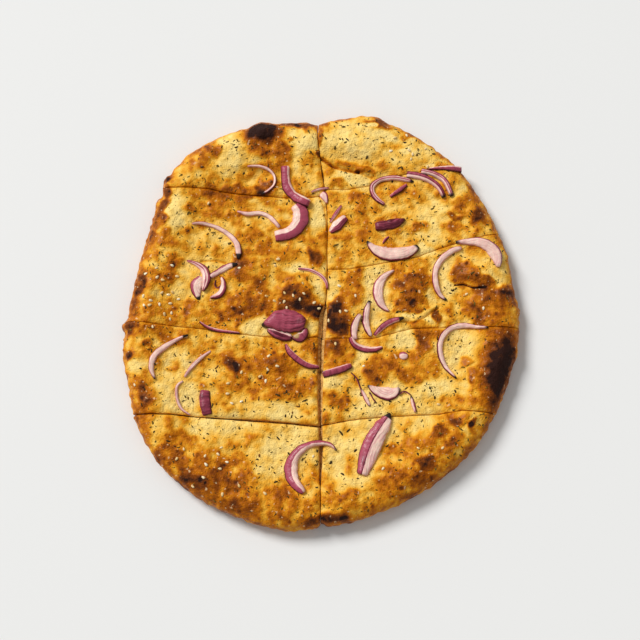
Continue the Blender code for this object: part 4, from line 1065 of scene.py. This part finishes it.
def knife_slab(cut, axis, low, high):
    """A standing wall in the shape of one cut from low to high, which a Boolean takes out of the dough."""
    count = round((high - low) / SLAB_STEP)
    deselect()
    bpy.ops.mesh.primitive_grid_add(
        x_subdivisions=count, y_subdivisions=1, size=2.0 * MM, location=(0.0, 0.0, SLAB_FOOT * MM)
    )
    slab = bpy.context.object
    bpy.ops.object.transform_apply(location=True, rotation=True, scale=True)
    open_mesh(slab)
    bpy.ops.mesh.extrude_region_move(TRANSFORM_OT_translate={"value": (0.0, 0.0, SLAB_HEIGHT * MM)})
    close_mesh()
    points = points_of(slab)
    along = low + (points[:, 0] + 1.0) / 2.0 * (high - low)
    centre, width = cut_offset(cut, along, axis)
    across = centre + np.sign(points[:, 1]) * width / 2
    x, y = (along, across) if axis == 0 else (across, along)
    points[:, 0], points[:, 1] = to_frame(x, y)
    put_points(slab, points)
    face_outward(slab)
    return slab


def knife_slabs():
    """The walls of all cuts. Those to the rim start in the middle of the long one."""
    slabs = [knife_slab(LONG_CUT, 1, LONG_CUT[-1][1], LONG_CUT[0][1])]
    for cut in LEFT_CUTS:
        slabs.append(knife_slab(cut, 0, cut[0][0], float(cut_offset(LONG_CUT, cut[-1][1], 1)[0])))
    for cut in RIGHT_CUTS:
        slabs.append(knife_slab(cut, 0, float(cut_offset(LONG_CUT, cut[0][1], 1)[0]), cut[-1][0]))
    return slabs


def cut_dough(dough):
    """Cuts the dough with the knife and gives the pieces."""
    slabs = knife_slabs()
    cutters = bpy.data.collections.new("knife")
    for slab in slabs:
        for home in list(slab.users_collection):
            home.objects.unlink(slab)
        cutters.objects.link(slab)
    settings = {"operation": "DIFFERENCE", "operand_type": "COLLECTION", "collection": cutters}
    apply_modifier(dough, "BOOLEAN", **settings, solver="MANIFOLD")
    for slab in slabs:
        bpy.data.objects.remove(slab, do_unlink=True)
    bpy.data.collections.remove(cutters)
    open_mesh(dough)
    bpy.ops.mesh.separate(type="LOOSE")
    close_mesh()
    return list(bpy.context.selected_objects)


class FLATBREAD_OT_bread(bpy.types.Operator):
    """Bakes the bread: shapes the dough, cuts it with the knife, gives the crust its relief, its bake and its
    painted shade
    """

    bl_idname = "flatbread.bread"
    bl_label = "Bake the bread"

    def execute(self, context):
        values = context.scene.flatbread_bread
        pieces = cut_dough(round_of_dough())
        finish = crust_finish(values)
        names = set()
        for piece in pieces:
            middle = points_of(piece).mean(axis=0)
            name = cell_of(*to_grid(middle[0], middle[1]))
            apply_modifier(piece, "REMESH", mode="VOXEL", voxel_size=values.mesh_step)
            apply_modifier(piece, "SMOOTH", factor=0.5, iterations=2)
            bake_piece(piece)
            finish_piece(piece, name.replace("bread", "crust"), finish)
            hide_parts(name)
            names.add(name)
        if len(names) != len(LEFT_CUTS) + len(RIGHT_CUTS) + 2:
            raise RuntimeError(f"the knife made other pieces than the cuts give: {sorted(names)}")
        return {"FINISHED"}


def lean_walls(points, x, y, share):
    """Narrow cuts close up. Wide ones keep their width at the top and nearly shut below a ledge of crumb."""
    for away, width, axis, (_, gap) in knife_walls(x, y):
        half = width / 2
        closed = np.minimum(gap / 2 + 0.2 * gap * noise(x, y, 5.0, 71), half)
        open_share = soft((width - OPEN_WIDTH) / OPEN_WIDTH)
        foot = closed + (SLIT_SHARE * half - closed) * open_share
        top = closed + (half - closed) * open_share
        wanted = foot + (np.maximum(top, foot) - foot) * soft((share - LEDGE_AT) / LEDGE_SHARE)
        near = soft(1.0 - (np.abs(away) - half) / KNIFE_ROUNDING)
        points[:, axis] -= np.sign(away) * (half - wanted) * near


def arc_of(angle):
    """Millimetres along the rim, kept above 0, at a mean radius of 105."""
    return angle * 105.0 + 400.0


def ruffle_rim(points, x, y, inset, share):
    """The rim bulges and dents a little all round, most on the left."""
    dx, dy = x - EDGE_CENTRE[0], y - EDGE_CENTRE[1]
    angle = np.arctan2(dy, dx)
    arc = arc_of(angle)
    up = points[:, 2] + 50.0
    arc = arc + 3.0 * noise(arc, up, 14.0, 80)
    push = 0.35 * noise(arc, up, 9.0, 81) + 0.46 * noise(arc, up, 3.6, 82)
    push += 0.8 * bubbles(arc, up, 9.0, 0.3, 83) + 0.6 * bubbles(arc, up, 4.4, 0.3, 84)
    push *= 0.95 + 0.35 * soft(1.0 - np.abs(np.abs(angle) - 2.75) / 0.7)
    push *= soft((9.0 - inset) / 9.0) * soft(share / 0.3)
    points[:, 0] += push * np.cos(angle)
    points[:, 1] += push * np.sin(angle)


def outside_bake_and_shade(points, x, y, inset, share):
    """How far each point is baked, with painted shade: the crust by its patches, the rim's side and the
    underside in blotches.
    """
    bake = bake_and_shade_of(x, y) + (0.14 + 0.14 * noise(x, y, 11.0, 53)) * soft((3.4 - inset) / 3.4)
    angle = np.arctan2(y - EDGE_CENTRE[1], x - EDGE_CENTRE[0])
    arc, up = arc_of(angle), points[:, 2] * 1.4 + 50.0
    bent = arc + 3.0 * noise(arc, up, 7.0, 54)
    side = 0.44 + 0.32 * (bake - 0.4) + 0.24 * noise(bent, up, 9.0, 55) + 0.16 * noise(bent, up, 3.6, 56)
    side += 0.16 * bubbles(bent, up, 5.0, 0.4, 57)
    bake += (side - bake) * soft((3.0 - inset) / 2.4)
    under = soft((0.30 - share) / 0.2)
    below = 0.42 + 0.22 * noise(x, y, 14.0, 51) + 0.2 * noise(x, y, 5.0, 52) + 0.2 * soft((8.0 - inset) / 8.0)
    return bake + (below - bake) * under


def crumb_share(x, y, inset, share):
    """How far each point is cut crumb: on the walls of the cuts, between the crust and the underside."""
    wall = soft((0.9 - knife_distance(x, y)) / 0.6) * soft((0.93 - share) / 0.12) * soft((inset - 1.5) / 2.0)
    return wall * (1.0 - soft((0.06 - share) / 0.05))


def bake_piece(piece):
    """Gives a cut piece its relief, and notes how far each point is baked, with painted shade, and whether it
    is crumb.
    """
    points = points_of(piece)
    x, y = to_grid(points[:, 0], points[:, 1])
    inset = np.maximum(inset_of(x, y), 0.0)
    plain = plain_height(inset)
    share = np.clip(points[:, 2] / plain, 0.0, 1.0)
    points[:, 2] += (crust_height(x, y) - plain) * soft(share)
    points[:, 2] = np.clip(points[:, 2], 0.0, CRUST_CEILING)
    lean_walls(points, x, y, share)
    ruffle_rim(points, x, y, inset, share)
    put_points(piece, points)
    put_values(piece, "bake", outside_bake_and_shade(points, x, y, inset, share))
    put_values(piece, "crumb", crumb_share(x, y, inset, share))


def spread_along(points, step):
    """A smooth line through the points, as rows of x, y and width, and how far along it each row lies."""
    fine = []
    for k in range(len(points) - 1):
        a, b = points[max(k - 1, 0)], points[k]
        c, d = points[k + 1], points[min(k + 2, len(points) - 1)]
        for n in range(CURVE_STEPS):
            fine.append([curve_between(*values, n / CURVE_STEPS) for values in zip(a, b, c, d)])
    fine.append(list(points[-1]))
    fine = np.array(fine)
    reach = np.concatenate([[0.0], np.cumsum(np.hypot(*np.diff(fine[:, :2], axis=0).T))])
    count = max(round(reach[-1] / step), 6)
    wanted = np.linspace(0.0, reach[-1], count + 1)
    return np.stack([np.interp(wanted, reach, fine[:, k]) for k in range(3)], axis=1), wanted


def across_of(stations):
    """At each station of a slice, the direction across it, to the left of its way."""
    way = np.gradient(stations[:, :2], axis=0)
    way /= np.hypot(way[:, 0], way[:, 1])[:, None]
    return np.stack([-way[:, 1], way[:, 0]], axis=1)


def support_under(x, y, trees):
    """The height of what lies under each point: the crust, or a slice laid before."""
    highest = crust_height(x, y)
    frame_x, frame_y = to_frame(x, y)
    for tree in trees:
        for k in range(len(x)):
            spot = Vector((frame_x[k] * MM, frame_y[k] * MM, RAY_FROM * MM))
            hit = tree.ray_cast(spot, Vector((0.0, 0.0, -1.0)))[0]
            if hit is not None:
                highest[k] = max(highest[k], hit.z / MM)
    return highest


def boxes_meet(first, second):
    """Whether two boxes, each a low and a high corner, overlap on the plane."""
    return all(first[0][k] < second[1][k] and second[0][k] < first[1][k] for k in (0, 1))


def slice_top(across, ridge):
    """Height of a slice's top over its width: flat flesh up to a ridge, then skin sloping down."""
    sides = np.sqrt(np.clip(1.0 - np.abs(2.0 * across) ** 8, 0.0, 1.0))
    flesh = 0.84 + 0.16 * soft((across + 0.5) / max(ridge + 0.5, 0.05))
    skin = 1.0 - 0.42 * np.clip((across - ridge) / max(0.5 - ridge, 0.05), 0.0, 1.0) ** 1.6
    return sides * np.where(across < ridge, flesh, skin)


class FLATBREAD_OT_onions(bpy.types.Operator):
    """Lays the slices of red onion on the crust, each on what lies under it"""

    bl_idname = "flatbread.onions"
    bl_label = "Lay the onion"

    def execute(self, context):
        values = context.scene.flatbread_onion
        finish = onion_finish(values)
        laid = []
        for number, (name, tall, look, points) in enumerate(ONIONS):
            piece, box = onion_slice(number, tall, points, look, name, laid)
            for line in (line for owner, line in THREADS if owner == name):
                rows = [(x, y, THREAD_SIZE) for x, y in line]
                thread, _ = onion_slice(number, THREAD_SIZE, rows, THREAD_LOOK, "thread", laid)
                only(piece)
                thread.select_set(True)
                bpy.ops.object.join()
            finish_piece(piece, name.replace("onion", "slice"), finish)
            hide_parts(name)
            mesh = bmesh.new()
            mesh.from_mesh(piece.data)
            laid.append((box, BVHTree.FromBMesh(mesh)))
            mesh.free()
        return {"FINISHED"}


def onion_bar(count):
    """A round bar one millimetre in radius and two long, cut along its length into that many parts."""
    deselect()
    bpy.ops.mesh.primitive_cylinder_add(
        vertices=SECTION_POINTS, radius=1.0 * MM, depth=2.0 * MM, end_fill_type="TRIFAN"
    )
    piece = bpy.context.object
    open_mesh(piece)
    pick(piece, "edges", lambda edge: rise(edge) > 0.1)
    bpy.ops.mesh.subdivide(number_cuts=count - 1)
    close_mesh()
    return piece


def seats_of(under, row, count):
    """The height on which each section of a slice rests, smoothed along the slice, for each of its points."""
    seats = np.array([under[row == k].max() for k in range(count + 1)])
    raised = [seats[max(k - SEAT_REACH, 0):k + SEAT_REACH + 1].max() for k in range(count + 1)]
    padded = np.pad(np.array(raised), SEAT_BLUR, mode="edge")
    window = 2 * SEAT_BLUR + 1
    return np.maximum(np.convolve(padded, np.ones(window) / window, mode="valid"), seats)[row]


def onion_slice(number, tall, rows, look, name, laid):
    """One slice, a strip drawn along its points. It rests on the crust and on the slices laid before."""
    side, share = look[:2]
    stations, along = spread_along(rows, bpy.context.scene.flatbread_onion.mesh_step / MM)
    count = len(stations) - 1
    piece = onion_bar(count)
    points = points_of(piece)
    row = np.rint((points[:, 2] + 1.0) / 2.0 * count).astype(np.int64)
    turn = np.arctan2(points[:, 1], points[:, 0])
    rim = np.hypot(points[:, 0], points[:, 1])
    wave = np.cos(turn)
    across = 0.5 * np.sign(wave) * np.abs(wave) ** 0.75 * rim
    skinward = across * side
    ridge = min(max(0.5 - share, -0.12), 0.3)
    normals = across_of(stations)
    width = stations[row, 2] * (1.0 + 0.12 * noise(along[row], np.full(len(row), number * 7.0), 3.0, 61))
    width = np.where((row == 0) | (row == count), width * TIP_WIDTH, width) * SLICE_WIDENING
    x = stations[row, 0] + normals[row, 0] * across * width
    y = stations[row, 1] + normals[row, 1] * across * width
    box = ((x.min(), y.min()), (x.max(), y.max()))
    trees = [tree for other, tree in laid if boxes_meet(box, other)]
    under = support_under(x, y, trees)
    seat = seats_of(under, row, count)
    ends = np.minimum(row, count - row)
    taper = np.where(ends == 0, TIP_HEIGHT, np.where(ends == 1, NEXT_HEIGHT, 1.0))
    rough = 1.0 + 0.16 * noise(along[row], skinward * 3.0 + number * 9.0, 2.4, 62)
    if name in PETALS:
        rough = rough + 0.20 * noise(skinward * width + number * 9.0, along[row] * 0.15, 1.6, 63)
    up = tall * SLICE_LOWERING * taper * rough * slice_top(skinward, ridge)
    top = np.sin(turn) > -0.01
    lower = np.minimum(under - SLICE_SINKS, seat)
    z = np.where(top, seat + up * np.abs(np.sin(turn)) ** 0.5, lower)
    z = np.where(rim < 0.5, seat + 0.35 * tall * taper, z)
    z = np.minimum(z, SLICE_CEILING)
    put_points(piece, np.stack([*to_frame(x, y), z], axis=1))
    face_outward(piece)
    note_slice(piece, number, name, look, (x, y, width, skinward, along[row]))
    return piece, box


def note_slice(piece, number, name, look, places):
    """Notes what a slice's material reads.

    The places of its points are x, y, the width there, the way to the skin's side and along the slice.
    """
    _, share, dark, first_tip, last_tip = look
    x, y, width, skinward, here = places
    from_edge = 0.5 - skinward
    reach = here.max()
    left = reach - here
    scorch = np.maximum(first_tip * (1.0 - here / SCORCH_LENGTH), last_tip * (1.0 - left / SCORCH_LENGTH))
    heart_x, heart_y, heart_reach = ONION_HEART
    petal = float(name in PETALS)
    notes = {
        "outer": from_edge * width,
        "inner": (0.5 + skinward) * width,
        "edge": (share - from_edge) * width,
        "line": INNER_LINES.get(name, -9.0) * width,
        "petal": np.full(len(x), petal),
        "along": here,
        # On petals, dark rises along the slice: a painted highlight near the first tip, painted shade towards
        # the last
        "dark": dark + 0.6 * petal * (here / reach - 0.4),
        "tone": np.full(len(x), number / len(ONIONS)),
        "scorch": np.clip(scorch, 0.0, 1.0),
        "heart": soft(heart_reach - np.hypot(x - heart_x, y - heart_y)) * float(name in HEART_SLICES),
    }
    for key, values in notes.items():
        put_values(piece, key, values)


def clear_of_onions(x, y, gap):
    """Whether each point keeps that far from every slice of onion."""
    free = np.ones(len(x), bool)
    for _, _, _, points in ONIONS:
        for px, py, width in spread_along(points, 1.5)[0]:
            free &= np.hypot(x - px, y - py) > width / 2 + gap
    return free


def scatter(spots, shapes, tones, name, finish, picker):
    """Copies of small shapes lying on the crust, as one piece.

    A spot is x, y, turn, size and how far it sinks in.
    """
    spots = np.array(spots)
    x, y, turn, size, sunk = spots.T
    step = 0.5
    height = crust_height(x, y)
    slope_x = (crust_height(x + step, y) - crust_height(x - step, y)) / (2 * step)
    slope_y = (crust_height(x, y + step) - crust_height(x, y - step)) / (2 * step)
    up = np.stack([-slope_x, -slope_y, np.ones_like(x)], axis=1)
    up /= np.linalg.norm(up, axis=1)[:, None]
    way = np.stack([np.cos(turn), np.sin(turn), np.zeros_like(x)], axis=1)
    way -= up * (way * up).sum(axis=1)[:, None]
    way /= np.linalg.norm(way, axis=1)[:, None]
    side = np.cross(up, way)
    points, faces, shades = [], [], []
    total = 0
    for k in range(len(x)):
        verts, polygons = shapes[picker.randrange(len(shapes))]
        local = verts * size[k]
        at = np.array([x[k], y[k], height[k]])
        placed = at + local[:, :1] * way[k] + local[:, 1:2] * side[k] + (local[:, 2:] - sunk[k]) * up[k]
        points.append(placed)
        faces.extend(tuple(n + total for n in polygon) for polygon in polygons)
        shades.extend([tones[k]] * len(verts))
        total += len(verts)
    points = np.concatenate(points)
    points[:, 0], points[:, 1] = to_frame(points[:, 0], points[:, 1])
    points[:, 2] = np.minimum(points[:, 2], GRAIN_CEILING)
    mesh = bpy.data.meshes.new(name)
    mesh.from_pydata((points * MM).tolist(), [], faces)
    piece = bpy.data.objects.new(name, mesh)
    bpy.context.scene.collection.objects.link(piece)
    put_values(piece, "tone", np.array(shades))
    finish_piece(piece, name, finish)


def shape_of(piece):
    """The shape of a small piece in units of its length, after which the piece itself goes."""
    verts = points_of(piece)
    polygons = [tuple(polygon.vertices) for polygon in piece.data.polygons]
    bpy.data.objects.remove(piece, do_unlink=True)
    return verts, polygons


def seed_shape():
    """A sesame seed one millimetre long: a flattened drop."""
    deselect()
    bpy.ops.mesh.primitive_uv_sphere_add(segments=8, ring_count=6, radius=0.5 * MM)
    seed = bpy.context.object
    open_mesh(seed)
    bpy.ops.transform.rotate(value=math.radians(90.0), orient_axis="Y", center_override=(0.0, 0.0, 0.0))
    close_mesh()
    points = points_of(seed)
    narrow = 0.64 - 0.36 * points[:, 0]
    points[:, 1] *= narrow
    points[:, 2] *= narrow * 0.62
    put_points(seed, points)
    return shape_of(seed)


def herb_shapes(picker):
    """Crumpled bits of dried leaf, each one millimetre long."""
    made = []
    for _ in range(HERB_KINDS):
        deselect()
        bpy.ops.mesh.primitive_ico_sphere_add(subdivisions=1, radius=0.5 * MM)
        leaf = bpy.context.object
        points = points_of(leaf)
        points[:, 1] *= picker.uniform(0.28, 0.58)
        points[:, 2] *= picker.uniform(0.14, 0.24)
        bend = picker.uniform(-0.9, 0.9)
        points[:, 1] += bend * (points[:, 0] ** 2 - 0.08)
        points[:, 2] += picker.uniform(0.1, 0.5) * (points[:, 0] ** 2)
        for row in points:
            row[0] += picker.uniform(-0.09, 0.09)
            row[1] += picker.uniform(-0.07, 0.07)
            row[2] += picker.uniform(-0.03, 0.05)
        put_points(leaf, points)
        made.append(shape_of(leaf))
    return made


def free_of(x, y, onion, rim, cut):
    """Whether each place keeps that far from the onion, from the bread's outline and from the cuts."""
    return clear_of_onions(x, y, onion) & (inset_of(x, y) > rim) & (knife_distance(x, y) > cut)


def any_place(picker):
    """A random place in the box round the bread."""
    return picker.uniform(*SOWN_X), picker.uniform(*SOWN_Y)


def seed_places(count, picker):
    """The named places of seeds, then others, most of them in the patches and none close to another."""
    spots = list(SEED_SPOTS)
    tries = 0
    while len(spots) < count and tries < SEED_TRIES:
        tries += 1
        if picker.random() < SEED_PATCH_SHARE:
            cx, cy, reach = picker.choice(SEED_PATCHES)
            turn, far = picker.uniform(0.0, math.tau), reach * math.sqrt(picker.random())
            x, y = cx + far * math.cos(turn), cy + far * math.sin(turn)
        else:
            x, y = any_place(picker)
        if min(math.hypot(x - a, y - b) for a, b in spots) > SEED_SPACING:
            spots.append((x, y))
    return np.array(spots).T


class FLATBREAD_OT_seeds(bpy.types.Operator):
    """Sows the sesame seeds on the crust, thickest where the patches say"""

    bl_idname = "flatbread.seeds"
    bl_label = "Sow the seeds"

    def execute(self, context):
        values = context.scene.flatbread_grain
        picker = random.Random(27)
        x, y = seed_places(values.seed_count, picker)
        free = free_of(x, y, 0.9, 3.0, 0.9)
        length = values.seed_length / MM
        rows = []
        for k in np.flatnonzero(free):
            size = length * picker.uniform(0.86, 1.08)
            rows.append((x[k], y[k], picker.uniform(0.0, math.tau), size, -0.10 * size))
        tones = [picker.uniform(0.0, 0.75) for _ in rows]
        scatter(rows, [seed_shape()], tones, "sesame_seeds", seed_finish(values), picker)
        return {"FINISHED"}


class FLATBREAD_OT_herbs(bpy.types.Operator):
    """Strews the dried herb flakes on the crust"""

    bl_idname = "flatbread.herbs"
    bl_label = "Strew the herbs"

    def execute(self, context):
        values = context.scene.flatbread_grain
        picker = random.Random(5)
        spots = list(HERB_SPOTS)
        while len(spots) < values.herb_count:
            x, y = any_place(picker)
            spots.append((x, y, 0.85 + 1.4 * picker.random() ** 2.0))
        x, y, size = np.array(spots).T
        bake = bake_and_shade_of(x, y)
        drawn = np.random.default_rng(8).uniform(0.0, 1.0, len(x))
        thick = 0.35 + 0.65 * soft(0.5 + 0.9 * noise(x, y, 11.0, 91))
        kept = drawn < thick * np.where(bake < 0.3, 1.0, np.where(bake < 0.8, 0.7, 0.0))
        kept[:len(HERB_SPOTS)] = True
        free = kept & free_of(x, y, 0.3, 2.0, 0.4)
        rows = [(x[k], y[k], picker.uniform(0.0, math.tau), size[k], 0.02) for k in np.flatnonzero(free)]
        tones = [picker.random() ** 1.4 for _ in rows]
        scatter(rows, herb_shapes(picker), tones, "herb_flakes", herb_finish(values), picker)
        return {"FINISHED"}


def set_floor(values):
    """A pale floor just below the bread."""
    deselect()
    bpy.ops.mesh.primitive_plane_add(size=6.0, location=(0.0, 0.0, -0.0001))
    floor = bpy.context.object
    floor.name = "floor"
    bench = Bench("pale_floor")
    floor.data.materials.append(bench.finish(Base_Color=(*values.floor, 1.0), Roughness=0.6))


def set_camera(scene, values):
    """A camera that looks down at the bread from the front."""
    aim = Vector([value * MM for value in AIM])
    way = Vector((0.0, math.cos(values.elevation), -math.sin(values.elevation)))
    tilt = math.pi / 2 - values.elevation
    bpy.ops.object.camera_add(location=aim - values.distance * way, rotation=(tilt, 0.0, 0.0))
    camera = bpy.context.object
    camera.data.lens = values.lens
    camera.data.sensor_width = 36.0
    camera.data.clip_start = 0.01
    scene.camera = camera


def set_light(scene, values):
    """A wide soft sun from the back left, and an even white sky."""
    place = Vector(KEY_PLACE)
    bpy.ops.object.light_add(type="SUN", location=place)
    key = bpy.context.object
    key.name = "key"
    key.rotation_euler = (-place).to_track_quat("-Z", "Y").to_euler()
    key.data.energy = values.key
    key.data.angle = values.key_spread
    world = bpy.data.worlds.new("sky")
    world.use_nodes = True
    backdrop = world.node_tree.nodes["Background"]
    backdrop.inputs["Color"].default_value = (1.0, 1.0, 1.0, 1.0)
    backdrop.inputs["Strength"].default_value = values.sky
    scene.world = world


class FLATBREAD_OT_stage(bpy.types.Operator):
    """Sets the pale floor, the soft light and the camera"""

    bl_idname = "flatbread.stage"
    bl_label = "Set the stage"

    def execute(self, context):
        values = context.scene.flatbread_stage
        set_floor(values)
        set_camera(context.scene, values)
        set_light(context.scene, values)
        context.scene.view_settings.view_transform = "Standard"
        return {"FINISHED"}


class FLATBREAD_PT_panel(bpy.types.Panel):
    """Lists the steps that make the flatbread"""

    bl_idname = "FLATBREAD_PT_panel"
    bl_label = "Flatbread"
    bl_space_type = "VIEW_3D"
    bl_region_type = "UI"
    bl_category = "Flatbread"

    def draw(self, context):
        for step in STEPS:
            self.layout.operator(step.bl_idname)


STEPS = (FLATBREAD_OT_bread, FLATBREAD_OT_onions, FLATBREAD_OT_seeds, FLATBREAD_OT_herbs, FLATBREAD_OT_stage)
VALUE_GROUPS = (
    ("flatbread_bread", BreadValues),
    ("flatbread_onion", OnionValues),
    ("flatbread_grain", GrainValues),
    ("flatbread_stage", StageValues),
)


def register():
    """Registers the values, the steps and the panel."""
    for name, group in VALUE_GROUPS:
        bpy.utils.register_class(group)
        setattr(bpy.types.Scene, name, bpy.props.PointerProperty(type=group))
    for step in STEPS:
        bpy.utils.register_class(step)
    bpy.utils.register_class(FLATBREAD_PT_panel)


def unregister():
    """Takes away what register added, last first."""
    bpy.utils.unregister_class(FLATBREAD_PT_panel)
    for step in reversed(STEPS):
        bpy.utils.unregister_class(step)
    for name, group in reversed(VALUE_GROUPS):
        delattr(bpy.types.Scene, name)
        bpy.utils.unregister_class(group)


def main():
    """Makes the flatbread step by step."""
    register()
    bpy.ops.flatbread.bread()
    bpy.ops.flatbread.onions()
    bpy.ops.flatbread.seeds()
    bpy.ops.flatbread.herbs()
    bpy.ops.flatbread.stage()


if __name__ == "__main__":
    main()
